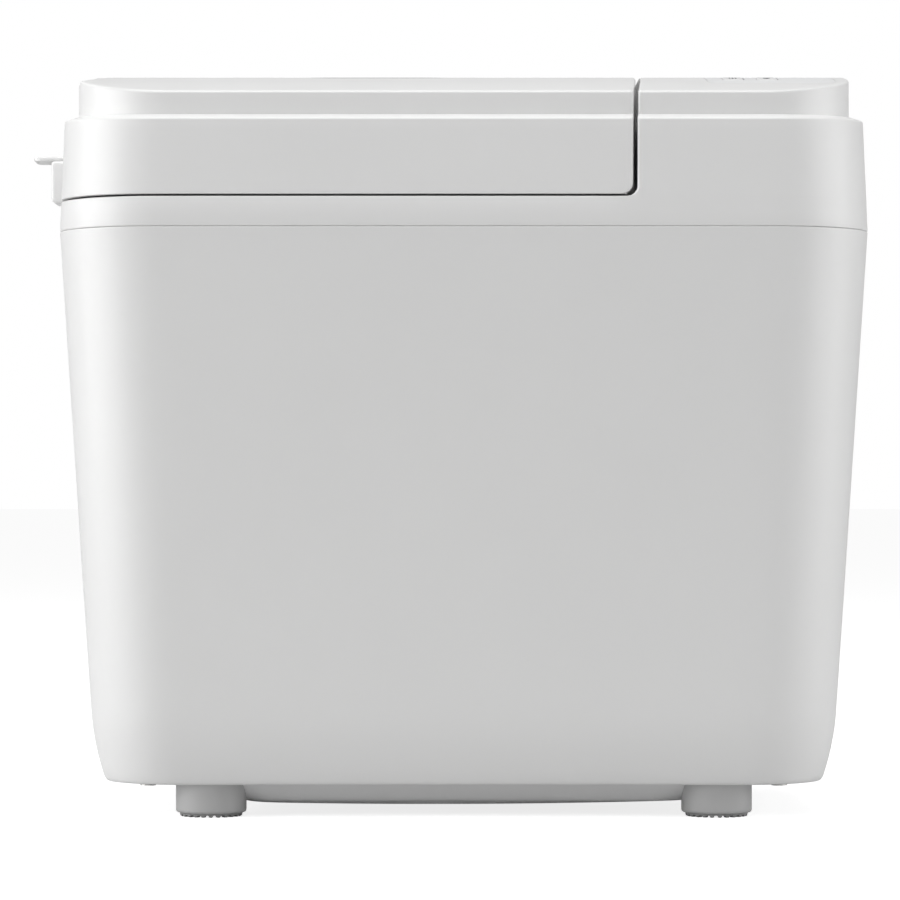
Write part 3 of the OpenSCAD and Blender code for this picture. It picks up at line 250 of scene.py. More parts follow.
metal("chamber_steel", (0.62, 0.62, 0.61), (0.50, 0.50, 0.49), (0.28, 0.42), 0.00001)
metal("liner_steel", (0.66, 0.66, 0.65), (0.54, 0.54, 0.53), (0.26, 0.4), 0.00001)
SPANGLE = {"Squeeze": (1.0, 0.5, 0.7), "Fine_Scale": 180.0, "Scuff_Scale": 60.0}
metal("zinc_steel", (0.58, 0.59, 0.60), (0.42, 0.43, 0.45), (0.3, 0.5), 0.00001, SPANGLE)
TURNED = {"Squeeze": (0.1, 0.1, 1.0), "Fine_Scale": 2600.0, "Scuff_Scale": 120.0}
metal("screw_steel", (0.70, 0.69, 0.67), (0.56, 0.55, 0.54), (0.18, 0.32), 0.000006, TURNED)
finish("cast_alloy", (0.56, 0.56, 0.57), (0.42, 0.42, 0.43), (0.38, 0.6), 0.00006, scales=CAST, Metallic=1.0)
LAYERED = {"Squeeze": (0.03, 0.03, 1.0), "Fine_Scale": 1600.0, "Scuff_Scale": 70.0}
metal("motor_iron", (0.24, 0.25, 0.27), (0.10, 0.10, 0.11), (0.35, 0.6), 0.00012, LAYERED)
WOUND = {"Squeeze": (0.05, 0.05, 1.0), "Fine_Scale": 1500.0, "Scuff_Scale": 70.0}
metal("copper_wire", (0.72, 0.30, 0.13), (0.34, 0.11, 0.04), (0.22, 0.4), 0.00025, WOUND)
metal("capacitor_can", (0.64, 0.65, 0.67), (0.52, 0.53, 0.55), (0.25, 0.4), 0.00001, TURNED)
HEATED = {"Fine_Scale": 700.0, "Broad_Scale": 30.0, "Scuff_Scale": 90.0}
finish("element_sheath", (0.20, 0.16, 0.13), (0.07, 0.06, 0.06), (0.4, 0.65), 0.00004,
       scales=HEATED, Metallic=0.8)
print(len(finishes), "finishes with the metals")

# %% Coating, prints and figures with a painted glow
COATING = {"Fine_Scale": 1900.0, "Broad_Scale": 35.0, "Scuff_Scale": 150.0}
finish("nonstick_coat", (0.085, 0.083, 0.08), (0.045, 0.044, 0.043), (0.36, 0.52), 0.00004, scales=COATING)
finish("button_print", (0.20, 0.21, 0.22), (0.15, 0.16, 0.17), (0.4, 0.5), 0.000004)
# The figures' emission is a painted glow: it stands in for light, so they show as light marks through the
# smoked pane.
finish("lcd_digit", (0.86, 0.90, 0.84), (0.80, 0.85, 0.78), (0.4, 0.5), 0.000002,
       Emission_Color=(0.80, 0.90, 0.80, 1.0), Emission_Strength=3.0)
print(len(finishes), "finishes so far")

# %% [markdown]
# ## Glass, display and circuit boards
# The lid's window is smoked clear plastic, so light has to pass through it and
# be tinted on the way. The boards carry copper tracks and solder dots, and those
# run as a grid, so they come from a brick texture over the plain lacquer.

# %% Clear and smoked panes
PANE = {"Fine_Scale": 500.0, "Broad_Scale": 9.0, "Scuff_Scale": 130.0}
finish("clear_glass", (0.97, 0.98, 0.98), (0.94, 0.96, 0.955), (0.02, 0.07), 0.000002, scales=PANE,
       Transmission_Weight=1.0, IOR=1.5)
finish("smoked_window", (0.22, 0.225, 0.235), (0.17, 0.175, 0.18), (0.04, 0.12), 0.000003, scales=PANE,
       Transmission_Weight=0.75, IOR=1.49)
finish("lcd_glass", (0.40, 0.45, 0.38), (0.35, 0.40, 0.34), (0.2, 0.3), 0.000003, scales=PANE)
print(len(finishes), "finishes with the panes")

# %% Circuit board
board = finish("circuit_board", (0.02, 0.10, 0.045), (0.012, 0.07, 0.032), (0.3, 0.45), 0.00002, scales=PANE)
tree = board.node_tree
tracks = add_node(tree, "ShaderNodeTexBrick", Scale=120.0, Mortar_Size=0.035, Mortar_Smooth=0.1)
tracks.inputs["Color1"].default_value = (0, 0, 0, 1)
tracks.inputs["Color2"].default_value = (0, 0, 0, 1)
tracks.inputs["Mortar"].default_value = (1, 1, 1, 1)
dots = add_node(tree, "ShaderNodeTexVoronoi", Scale=260.0, Randomness=0.35)
near = add_node(tree, "ShaderNodeMath", operation="LESS_THAN")
near.inputs[1].default_value = 0.22
copper = add_node(tree, "ShaderNodeMix", data_type="RGBA")
copper.inputs["B"].default_value = (0.05, 0.22, 0.09, 1)
solder = add_node(tree, "ShaderNodeMix", data_type="RGBA")
solder.inputs["B"].default_value = (0.55, 0.55, 0.53, 1)
place = next(n for n in tree.nodes if n.bl_idname == "ShaderNodeTexCoord")
shader = next(n for n in tree.nodes if n.bl_idname == "ShaderNodeBsdfPrincipled")
link(tree, place.outputs["Object"], tracks.inputs["Vector"])
link(tree, place.outputs["Object"], dots.inputs["Vector"])
link(tree, tree.nodes["tones"].outputs["Result"], copper.inputs["A"])
link(tree, tracks.outputs["Color"], copper.inputs["Factor"])
link(tree, copper.outputs["Result"], solder.inputs["A"])
link(tree, dots.outputs["Distance"], near.inputs[0])
link(tree, near.outputs[0], solder.inputs["Factor"])
link(tree, solder.outputs["Result"], shader.inputs["Base Color"])
print(board.name, "has", len(tree.nodes), "nodes")

# %% Put a finish on every sized part
part_slot = {}
for name, part in nodes.items():
    for index, material in enumerate(part.data.materials):
        part_slot[name] = material.name
        part.data.materials[index] = finishes[material.name]
print(len(part_slot), "sized parts have", len(set(part_slot.values())), "finishes")

# %% [markdown]
# ## One way to make every moulded shell
# All the white mouldings have the same kind of plan: a rectangle with rounded
# corners, drawn in a little as it rises. So each shell is a stack of such plans.
# The plan runs round one direction of a grid and a profile of insets and heights
# runs round the other. The wall, its rounded edges and its inner face then come
# out as one closed skin, with no separate bevels.

# %% Plan of a shell: four arcs joined by straight sides
ARC = 17
SIDE = 26


def plan(half_w, y0, y1, r0, r1, arc=ARC, side=SIDE):
    """Closed rounded rectangles, one per level, as an array of level, point, xy.

    Each corner is its centre plus a radius times (cos, sin) of a quarter turn. The
    straight sides are even steps from the end of one arc to the start of the next."""
    sizes = np.broadcast_arrays(half_w, y0, y1, r0, r1)
    half_w, y0, y1, r0, r1 = (np.atleast_1d(v).astype(float) for v in sizes)
    turn = np.linspace(0, np.pi / 2, arc)
    centres = [
        (half_w - r0, y0 + r0, r0, -np.pi / 2),
        (half_w - r1, y1 - r1, r1, 0.0),
        (-half_w + r1, y1 - r1, r1, np.pi / 2),
        (-half_w + r0, y0 + r0, r0, np.pi),
    ]
    arcs = []
    for cx, cy, r, a in centres:
        x = cx[:, None] + r[:, None] * np.cos(turn + a)
        y = cy[:, None] + r[:, None] * np.sin(turn + a)
        arcs.append(np.stack([x, y], -1))
    step = (np.arange(1, side + 1) / (side + 1))[None, :, None]
    rows = []
    for i, piece in enumerate(arcs):
        after = arcs[(i + 1) % 4]
        rows += [piece, piece[:, -1:] * (1 - step) + after[:, :1] * step]
    return np.concatenate(rows, axis=1)


# %% Rounded profiles
def corner_curve(start, knee, end, t):
    """From the start, bending past the knee, to the end, as t goes from 0 to 1: a quadratic curve."""
    return (1 - t) ** 2 * start + 2 * t * (1 - t) * knee + t**2 * end


def rounded(points, radii, steps=6):
    """A closed or open outline whose corners are turned into arcs of the given radii.

    At each corner the arc starts and ends at radius times the tangent of half the
    turn, and the points between follow a quadratic curve through the corner."""
    points = np.asarray(points, float)
    out = []
    for i, (point, radius) in enumerate(zip(points, radii)):
        before = points[i - 1] - point
        after = points[(i + 1) % len(points)] - point
        reach = min(np.linalg.norm(before), np.linalg.norm(after)) * 0.49
        if radius <= 0:
            out.append(point[None])
            continue
        a, b = before / np.linalg.norm(before), after / np.linalg.norm(after)
        half = 0.5 * np.arccos(np.clip(a @ b, -1, 1))
        cut = min(radius / np.tan(half), reach)
        t = np.linspace(0, 1, steps)[:, None]
        start, end = point + a * cut, point + b * cut
        out.append(corner_curve(start, point, end, t))
    return np.concatenate(out)


# %% Turning a grid of points into a piece
def grid_faces(rows, cols, wrap_rows, wrap_cols):
    """Quads between neighbouring grid points, closed round where asked."""
    r = np.arange(rows if wrap_rows else rows - 1)
    c = np.arange(cols if wrap_cols else cols - 1)
    r, c = np.meshgrid(r, c, indexing="ij")
    r2, c2 = (r + 1) % rows, (c + 1) % cols
    return np.stack([r * cols + c, r * cols + c2, r2 * cols + c2, r2 * cols + c], -1).reshape(-1, 4)


def end_loops(rows, cols, start=0):
    """The two faces that close a tube of rings: the first ring turned round, and the last."""
    first = np.arange(cols) + start
    return [first[::-1].tolist(), (first + (rows - 1) * cols).tolist()]


def split_faces(rows, cols, last):
    """Quads of a closed stack without the band after one row, and the two faces that close it there."""
    faces = grid_faces(rows, cols, True, True).reshape(rows, cols, 4)
    quads = np.concatenate([faces[:last], faces[last + 1:]]).reshape(-1, 4)
    ring = last * cols + np.arange(cols)
    return quads, [ring.tolist(), (ring + cols)[::-1].tolist()]


def raised(flat, heights):
    """Gives each level of a plan its height, so level, point, xy becomes level, point, xyz."""
    z = np.broadcast_to(np.asarray(heights, float)[:, None], flat.shape[:2])
    return np.concatenate([flat, z[..., None]], -1)


# %% Making the piece
SHARP = 32


def make_piece(name, points, faces, body, replaces=(), slot=None, sharp=SHARP, extra=(), look=None):
    """Builds a mesh object from points and faces, and sets it on its body with its finish.

    Edges that turn by more than the sharp angle, in degrees, are shaded as edges."""
    mesh = bpy.data.meshes.new(name)
    loops = [list(map(int, f)) for f in faces] + [list(map(int, f)) for f in extra]
    mesh.from_pydata(np.asarray(points, float).tolist(), [], loops)
    mesh.validate()
    mesh.polygons.foreach_set("use_smooth", np.ones(len(mesh.polygons), bool))
    mesh.set_sharp_from_angle(angle=math.radians(sharp))
    piece = bpy.data.objects.new(name, mesh)
    scene.collection.objects.link(piece)
    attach(piece, body)
    if replaces:
        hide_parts(*replaces)
    if slot:
        mesh.materials.append(finishes[look or slot])
    print(name, len(mesh.vertices), "points")
    return piece


# %% Shell from a profile of insets and heights
def shell_points(inset, height, y0, y1, r0, r1, half_w=HALF_W):
    """Grid of level, point, xyz: each level's plan is drawn in by its inset.

    A corner's radius shrinks with the inset, and never falls under half a millimetre."""
    inset = np.asarray(inset, float)
    tight = lambda r: np.maximum(r - 0.6 * inset, 0.5 * MM)
    flat = plan(half_w - inset, y0 + inset, y1 - inset, tight(r0), tight(r1))
    return raised(flat, height)


# %% [markdown]
# ## The body
# The body is one deep moulding. Its sides lean in by about three and a half
# degrees towards the base, and the last thirty millimetres curl in further to a
# small rounded foot edge. The lean and the curl are one formula of the height.

# %% Body wall
CURL_TOP, CURL_SPAN = 46 * MM, 32 * MM
LEAN = 13.2 * MM / (BELT_Z - CURL_TOP)
CURL = 4.4 * MM


def body_inset(z):
    """Lean times the drop from the belt, plus a curl that grows as the square below its top."""
    return LEAN * (BELT_Z - z) + CURL * np.clip((CURL_TOP - z) / CURL_SPAN, 0, None) ** 2


def body_wall():
    """Outer face going up, top edge, inner face going down, bottom edge, all one loop."""
    edge_z = BASE_Z + 3 * MM
    z_curl, z_side = np.linspace(edge_z, CURL_TOP, 14), np.linspace(52 * MM, BELT_Z - 0.7 * MM, 22)
    z_up = np.concatenate([z_curl, z_side])
    outer = np.stack([body_inset(z_up), z_up], -1)
    top_out = np.array([[0.02, -0.45], [0.12, -0.2], [0.4, -0.03], [0.8, 0]]) * MM + [0, BELT_Z]
    z_down = z_up[::-1]
    inner = np.stack([body_inset(z_down) + WALL, z_down], -1)
    low = body_inset(edge_z)
    t = np.linspace(0, 1, 7)[:-1, None]
    start, knee, end = np.array([[low + WALL, BASE_Z + 1 * MM], [low + 1.3 * MM, BASE_Z], [low, edge_z]])
    foot = corner_curve(start, knee, end, t)
    path = np.concatenate([outer, top_out, [[WALL, BELT_Z]], inner, foot])
    points = shell_points(path[:, 0], path[:, 1], FRONT_Y, REAR_Y, CORNER_R, CORNER_R)
    faces = grid_faces(points.shape[0], points.shape[1], True, True)
    return make_piece("body_wall", points.reshape(-1, 3), faces, "housing", ["body_shell"], "white_plastic")


body_wall()

# %% [markdown]
# ## Collar and control housing
# One moulding makes the collar round the whole body and the tall control housing
# at the front. It is drawn here as the collar ring, which carries the deck round
# the chamber, and the housing wall that stands on the ring's front part. The
# housing's rear edge runs into the collar with a small hollow fillet.

# %% Bow of the gap and arch of the ledge
LEDGE_RISE = 3.4 * MM


def bowed(points, reach=26 * MM):
    """Moves points near the gap forward by the bow times one minus x over the half width, squared.

    The move fades to nothing over the reach on either side of the gap."""
    points = np.array(points, float)
    away = np.clip(np.abs(points[..., 1] - GAP_REAR + GAP / 2) / reach, 0, 1)
    fade = 1 - away**2 * (3 - 2 * away)
    points[..., 1] -= BOW * np.clip(1 - (points[..., 0] / HALF_W) ** 2, 0, 1) * fade
    return points


def ledge_lifted(points):
    """Lifts the ledge towards the ends of the machine, where x is small, as a flat arch.

    The lift starts above the collar and is full at the rim."""
    points = np.array(points, float)
    start = COLLAR_Z + 20 * MM
    share = np.clip((points[..., 2] - start) / (RIM_Z - start), 0, 1)
    points[..., 2] += LEDGE_RISE * np.clip(1 - (points[..., 0] / HALF_W) ** 2, 0, 1) * share
    return points


# %% Collar ring
COLLAR_LEAN = 0.5 * MM


def collar_ring():
    """Profile loop: outer face, rounded top edge, deck, inner face and bottom edge.

    The rounding of the top edge fades to nothing along the control housing, so the
    housing's wall goes on from it without a mark."""
    edge = 0.7 * MM
    deck = BODY_HIGH[0] - CHAMBER_HIGH[0]
    path = np.array([
        [0.9 * MM, BELT_Z + 0.02 * MM], [0.35 * MM, BELT_Z + 0.12 * MM], [0.08 * MM, BELT_Z + 0.4 * MM],
        [0.02 * MM, BELT_Z + 0.9 * MM], [0.25 * MM, BELT_Z + 6 * MM], [COLLAR_LEAN, COLLAR_Z - edge],
        [COLLAR_LEAN + 0.15 * MM, COLLAR_Z - 0.3 * edge], [COLLAR_LEAN + 0.4 * edge, COLLAR_Z - 0.08 * edge],
        [COLLAR_LEAN + edge, COLLAR_Z], [deck * 0.5, COLLAR_Z], [deck * 0.5, COLLAR_Z - WALL],
        [WALL + COLLAR_LEAN, COLLAR_Z - WALL], [WALL + COLLAR_LEAN, BELT_Z + 0.02 * MM],
    ])
    points = shell_points(path[:, 0], path[:, 1], FRONT_Y, REAR_Y, CORNER_R, CORNER_R)
    square = np.array([
        [COLLAR_LEAN, COLLAR_Z - 0.5 * edge], [COLLAR_LEAN, COLLAR_Z], [COLLAR_LEAN, COLLAR_Z],
    ])
    flush = shell_points(square[:, 0], square[:, 1], FRONT_Y, REAR_Y, CORNER_R, CORNER_R)
    blend = np.clip((points[6, :, 1] - GAP_FRONT - 2 * MM) / (3 * MM), 0, 1)[None, :, None]
    points[6:9] = flush * (1 - blend) + points[6:9] * blend
    faces = grid_faces(points.shape[0], points.shape[1], True, True)
    return make_piece("collar_ring", points.reshape(-1, 3), faces, "housing", ["top_frame"], "white_plastic")


collar_ring()

# %% Deck round the chamber
def deck_plate():
    """Flat ring between the collar and the chamber, with a turned-down inner lip."""
    low, high = CHAMBER_LOW, CHAMBER_HIGH
    cy = (low[1] + high[1]) / 2
    half_w, half_l = (high[0] - low[0]) / 2 - 5 * MM, (high[1] - low[1]) / 2 - 5 * MM
    top = COLLAR_Z - 0.02 * MM
    outside = (HALF_W - 10 * MM, GAP_FRONT - 6 * MM, REAR_Y - 10 * MM, 2 * MM, 36 * MM)

    def hole(out, radius):
        """Plan of the chamber's mouth, this much larger all round."""
        return half_w + out, cy - half_l - out, cy + half_l + out, radius, radius

    rows = np.array([
        (*outside, top - WALL), (*outside, top),
        (*hole(1.5 * MM, 25 * MM), top), (*hole(0.4 * MM, 24.4 * MM), top - 0.4 * MM),
        (*hole(0, 24 * MM), top - 1.4 * MM), (*hole(0, 24 * MM), top - WALL),
    ])
    points = raised(plan(*rows[:, :5].T), rows[:, 5])
    faces = grid_faces(points.shape[0], points.shape[1], True, True)
    return make_piece("deck_plate", points.reshape(-1, 3), faces, "housing", ["top_frame"], "white_plastic")


deck_plate()

# %% Control housing wall
HOLLOW_R = 4.5 * MM
SIDE_LEAN = 1.5 * MM


def side_inset(z):
    """Inset of the upper sides, which lean in evenly from the collar to the rim."""
    return COLLAR_LEAN + SIDE_LEAN * (z - COLLAR_Z) / (RIM_Z - COLLAR_Z)

def rim_profile(z_low):
    """Insets and heights from a low level up the side, round the rim and up the shoulder."""
    z = np.linspace(z_low, RIM_Z - 0.7 * MM, 8)
    side = np.stack([side_inset(z), z], -1)
    top_in = side[-1, 0]
    t = np.linspace(0, 1, 7)[1:, None]
    knee, end = np.array([[top_in + 0.03 * MM, RIM_Z + 0.1 * MM], [top_in + 1.0 * MM, RIM_Z + 0.45 * MM]])
    rim = corner_curve(side[-1], knee, end, t)
    shoulder = np.array([[ISLAND_IN - 0.9 * MM, SHOULDER_Z - 0.1 * MM], [ISLAND_IN + 2.4 * MM, SHOULDER_Z]])
    return np.concatenate([side, rim, shoulder])


def housing_wall():
    """The front part of the plan, closed by a straight rear wall with a hollow fillet at its foot."""
    outer = rim_profile(COLLAR_Z)
    z_hollow = COLLAR_Z + HOLLOW_R * np.array([0.0, 0.08, 0.2, 0.4, 0.65, 0.9])
    outer = np.concatenate([np.stack([side_inset(z_hollow), z_hollow], -1), outer[2:]])
    inner = np.array([
        [ISLAND_IN + 2.4 * MM, SHOULDER_Z - WALL], [WALL + 2 * MM, RIM_Z - WALL], [WALL + 1 * MM, COLLAR_Z],
    ])
    path = np.concatenate([outer, inner])
    outside = np.arange(len(path)) < len(outer)
    drop = np.clip(HOLLOW_R - (path[:, 1] - COLLAR_Z), 0, None)
    hollow = HOLLOW_R - np.sqrt(np.clip(HOLLOW_R**2 - drop**2, 0, None))
    rear = GAP_FRONT + np.where(outside, hollow, -WALL)
    under_top = GAP_FRONT - np.where(outside, 0.05 * MM, WALL)
    rear = np.where(path[:, 0] > ISLAND_IN - 2 * MM, under_top, rear)
    flat = plan(
        HALF_W - path[:, 0], FRONT_Y + path[:, 0], rear,
        np.maximum(CORNER_R - 0.6 * path[:, 0], MM), np.full(len(path), 1.2 * MM),
    )
    points = bowed(ledge_lifted(raised(flat, path[:, 1])))
    faces = grid_faces(points.shape[0], points.shape[1], True, True)
    return make_piece("housing_wall", points.reshape(-1, 3), faces, "housing", ["top_frame"],
                      "white_plastic")


housing_wall()

# %% [markdown]
# ## Lid
# The lid is a skirt with a rounded rim, a sloping shoulder, and on it a raised
# top whose crown is one long arch across the width. The skirt's lower front
# corners are rounded to sit over the hollow fillet of the control housing.

# %% Lid skirt
def lid_skirt():
    """Outer face, rim and shoulder going up, then the inner face going down."""
    low = LID_Z
    outer = rim_profile(low + 0.6 * MM)
    bottom = np.array([
        [COLLAR_LEAN + 0.8 * MM, low], [COLLAR_LEAN + 0.3 * MM, low + 0.1 * MM],
        [COLLAR_LEAN + 0.07 * MM, low + 0.3 * MM],
    ])
    near = low + HOLLOW_R * np.array([0.25, 0.4, 0.6, 0.8, 1.0])
    outer = np.concatenate([outer[:1], np.stack([side_inset(near), near], -1), outer[2:]])
    inner = np.array([
        [ISLAND_IN + 2.4 * MM, SHOULDER_Z - WALL], [WALL + 2 * MM, RIM_Z - WALL], [WALL + COLLAR_LEAN, low],
    ])
    path = np.concatenate([bottom, outer, inner])
    reach = HOLLOW_R + 0.6 * MM
    drop = np.clip(reach - (path[:, 1] - low), 0, reach)
    curve = reach - np.sqrt(np.clip(reach**2 - drop**2, 0, None))
    outside = np.arange(len(path)) < len(bottom) + len(outer)
    front = GAP_REAR + np.where(outside, curve, WALL)
    front = np.where((path[:, 0] > ISLAND_IN - 2 * MM) & outside, GAP_REAR + 0.05 * MM, front)
    flat = plan(
        HALF_W - path[:, 0], front, REAR_Y - path[:, 0],
        np.full(len(path), 1.2 * MM), np.maximum(CORNER_R - 0.6 * path[:, 0], MM),
    )
    points = bowed(ledge_lifted(raised(flat, path[:, 1])))
    faces = grid_faces(points.shape[0], points.shape[1], True, True)
    return make_piece("lid_skirt", points.reshape(-1, 3), faces, "lid", ["lid_shell"], "white_plastic")


lid = lid_skirt()

# %% Arched tops
CROWN_RISE = 14.5 * MM
CROWN_R = ((HALF_W - ISLAND_IN) ** 2 + CROWN_RISE**2) / (2 * CROWN_RISE)
BEVEL_L = 11.6 * MM
BEVEL_H = 8.2 * MM


def crown_height(x, y):
    """Height of the arch at x, cut at the rear by a sloping plane. The lower of the two wins, eased."""
    arch = CROWN_Z - CROWN_R + np.sqrt(CROWN_R**2 - x**2)
    rear = REAR_Y - ISLAND_IN
    slope = CROWN_Z - BEVEL_H * (y - (rear - BEVEL_L)) / BEVEL_L
    ease = 0.9 * MM
    mix = np.clip(0.5 + 0.5 * (slope - arch) / ease, 0, 1)
    return slope * (1 - mix) + arch * mix - ease * mix * (1 - mix) * 0.5


def raised_top(name, y0, y1, r0, r1, body, node):
    """Wall, rounded edge and crown of a raised top, then the same again inside, as one skin.

    Near the edge the height falls away from the crown as a quarter ellipse. Inwards, the
    plans shrink until they meet in a slit along the middle, which is then closed."""
    edge = 1.2 * MM
    turn = np.linspace(0, np.pi / 2, 7)
    rounding_in = edge * (1 - np.cos(turn))
    rounding_drop = edge * (1 - np.sin(turn))
    inner_in = np.array([4, 7, 11, 16, 22, 30, 40, 52, 66, 82, 94, HALF_W / MM - ISLAND_IN / MM - 0.6]) * MM
    draw = np.concatenate([np.zeros(3), rounding_in, inner_in])
    drop = np.concatenate([np.zeros(3), rounding_drop, np.zeros(len(inner_in))])

    def layer(shift, draw, drop):
        """Plans under the crown, drawn in and lowered, and moved inwards and down by the shift."""
        along = np.minimum(draw, (y1 - y0) / 2 - MM)
        flat = plan(
            HALF_W - ISLAND_IN - shift - draw, y0 + shift + along, y1 - shift - along,
            np.maximum(r0 - shift - draw, 0.2 * MM), np.maximum(r1 - shift - draw, 0.2 * MM),
        )
        z = crown_height(flat[..., 0], flat[..., 1]) - shift - drop[:, None]
        return np.concatenate([flat, z[..., None]], -1)

    outer = layer(0.0, draw, drop)
    outer[0, :, 2] = SHOULDER_Z - 0.6 * MM
    outer[1, :, 2] = SHOULDER_Z + 2 * MM
    outer[2, :, 2] = 0.5 * (outer[1, :, 2] + outer[3, :, 2])
    inner = layer(WALL, inner_in[:-1], np.zeros(len(inner_in) - 1))[::-1]
    foot = layer(WALL, np.zeros(1), np.zeros(1))
    foot_low = foot.copy()
    foot_low[..., 2] = SHOULDER_Z - 0.6 * MM
    points = bowed(np.concatenate([outer, inner, foot, foot_low]))
    keep, extra = split_faces(*points.shape[:2], len(outer) - 1)
    return make_piece(name, points.reshape(-1, 3), keep, body, [node], "white_plastic", extra=extra)


island_r = CORNER_R - 0.6 * ISLAND_IN
# The tops stand this far behind the walls they overlap at the gap, so no two faces coincide.
BEHIND = 0.04 * MM
TOP_REAR, TOP_FRONT, GAP_R = REAR_Y - ISLAND_IN, FRONT_Y + ISLAND_IN, 1.2 * MM
lid_top = raised_top("lid_top", GAP_REAR + BEHIND, TOP_REAR, GAP_R, island_r, "lid", "lid_cover")
panel_top = raised_top("panel_top", TOP_FRONT, GAP_FRONT - BEHIND, island_r, GAP_R, "housing", "panel_cover")

# %% [markdown]
# ## Holes cut into a skin
# The raised tops have openings: the lid's window and steam vents, the control
# plate's bed and a finger scoop. Each could be built into the grid, but a cutter
# subtracted from the finished skin keeps the surface round it untouched. The
# result is stored as a plain mesh and the cutters are removed.

# %% Cutters
def prism(x, y, half_x, half_y, radius, z0, z1, arc=8, side=1):
    """A closed upright block with a rounded plan, as points and faces."""
    flat = plan([half_x] * 2, [y - half_y] * 2, [y + half_y] * 2, [radius] * 2, [radius] * 2, arc, side)
    flat[..., 0] += x
    points = raised(flat, [z0, z1])
    count = points.shape[1]
    faces = grid_faces(2, count, False, True).tolist() + end_loops(2, count)
    return points.reshape(-1, 3), faces


def cut(piece, blocks):
    """Subtracts all the blocks from a piece and keeps the result as its mesh."""
    points, faces, start = [], [], 0
    for block_points, block_faces in blocks:
        points.append(block_points)
        faces += [[i + start for i in face] for face in block_faces]
        start += len(block_points)
    mesh = bpy.data.meshes.new("cutter")
    mesh.from_pydata(np.concatenate(points).tolist(), [], faces)
    cutter = bpy.data.objects.new("cutter", mesh)
    scene.collection.objects.link(cutter)
    hole = piece.modifiers.new("cut", "BOOLEAN")
    hole.operation = "DIFFERENCE"
    hole.solver = "EXACT"
    hole.use_self = False
    hole.object = cutter
    bpy.context.view_layer.update()
    result = bpy.data.meshes.new_from_object(piece.evaluated_get(bpy.context.evaluated_depsgraph_get()))
    piece.modifiers.clear()
    piece.data = result
    result.polygons.foreach_set("use_smooth", np.ones(len(result.polygons), bool))
    result.set_sharp_from_angle(angle=math.radians(SHARP))
    bpy.data.objects.remove(cutter)
    print(piece.name, "after cutting:", len(result.polygons), "faces")


def box_middle(node):
    """Middle and half sizes of a part's box."""
    low, high = (np.array(v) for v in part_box(node))
    return (low + high) / 2, (high - low) / 2


# %% Window and vents in the lid
CUT_TOP = 0.34
PANE_FIT, BED_FIT = 0.15 * MM, 0.2 * MM
VENT_STEP = 12 * MM
pane_mid, pane_half = box_middle("lid_window")
blocks = [prism(0, pane_mid[1], pane_half[0] + PANE_FIT, pane_half[1] + PANE_FIT, 14 * MM, 0.29, CUT_TOP)]
vent_y = pane_mid[1] + 81 * MM
blocks += [prism(VENT_STEP * i, vent_y, 2 * MM, 11 * MM, 2 * MM, 0.3, CUT_TOP) for i in range(-3, 4)]
cut(lid_top, blocks)

# %% Bed and scoop in the control housing
plate_mid, plate_half = box_middle("control_fascia")
SCOOP_HALF, SCOOP_L, SCOOP_R = 38 * MM, 17 * MM, 5 * MM
scoop_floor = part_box("panel_cover")[0][2] + WALL
bed_x, bed_y = plate_half[0] + BED_FIT, plate_half[1] + BED_FIT
bed = prism(plate_mid[0], plate_mid[1], bed_x, bed_y, 6 * MM, 0.3, CUT_TOP)
well_y, well_half = GAP_FRONT - SCOOP_L / 2 + 1 * MM, SCOOP_L / 2 + 1 * MM
well_points, well_faces = prism(0, well_y, SCOOP_HALF, well_half, SCOOP_R, scoop_floor, CUT_TOP, 8, 16)
cut(panel_top, [bed, (bowed(well_points), well_faces)])

# %% Scoop pan
def scoop_pan():
    """A hollow tray: a rounded rectangle carried down the walls and in along the floor.

    The foot of the walls turns into the floor on a radius of four millimetres."""
    mid_y = GAP_FRONT - SCOOP_L / 2
    foot_r = 4 * MM
    turn = np.linspace(0, np.pi / 2, 7)
    draw = np.concatenate([np.zeros(4), foot_r * (1 - np.cos(turn[1:])), [6 * MM, 7.5 * MM]])
    top = CROWN_Z - 2.4 * MM
    wall_z = np.linspace(0, 1, 4) * (scoop_floor + foot_r - top) + top
    z = np.concatenate([wall_z, scoop_floor + foot_r * (1 - np.sin(turn[1:])), [scoop_floor] * 2])

    def skin(out, low):
        """The tray's plans and heights, moved outwards and down."""
        half_x = SCOOP_HALF - 0.05 * MM - draw + out
        half_y = SCOOP_L / 2 - 0.05 * MM - draw + out
        radius = np.maximum(SCOOP_R - draw, 0.4 * MM) + out
        return plan(half_x, mid_y - half_y, mid_y + half_y, radius, radius), z - low
    flat_in, z_in = skin(0.0, 0.0)
    flat_out, z_out = skin(1.4 * MM, 1.4 * MM)
    z_out = np.minimum(z_out, z_in)
    z_out[0] = z_in[0]
    flat = np.concatenate([flat_in, flat_out[::-1]])
    points = raised(flat, np.concatenate([z_in, z_out[::-1]]))
    edge_y = GAP_FRONT - 0.06 * MM
    points[..., 1] = np.where(points[..., 1] > edge_y, edge_y, points[..., 1])
    points = bowed(points)
    crown = crown_height(points[..., 0], points[..., 1]) - 0.3 * MM
    rising = np.isclose(points[..., 2], top)
    points[..., 2] = np.where(rising, crown, np.minimum(points[..., 2], crown))
    keep, extra = split_faces(*points.shape[:2], len(z_in) - 1)
    return make_piece("finger_scoop", points.reshape(-1, 3), keep[:, ::-1], "housing", ["panel_cover"],
                      "white_plastic", extra=extra)


scoop_pan()

# %% [markdown]
# ## Control plate and keys
# A thin plate fills the bed, with six keys and a smoked display pane in it. A key
# is a soft-edged pad on a round stem, and its top follows the arch of the housing.
# The mark on each key is a thin print that moves with its key.

# %% Key caps
KEYS = ["button_menu", "button_crust", "button_timer_up", "button_timer_down", "button_stop", "button_start"]
KEY_R, STEM_R = 2.6 * MM, 2 * MM
def key_top(x):
    """Height of the keys' tops at x: a quarter of a millimetre over the arch, and under its crown."""
    arch = CROWN_Z - CROWN_R + np.sqrt(CROWN_R**2 - x**2)
    return np.minimum(arch + 0.25 * MM, CROWN_Z - 0.12 * MM)


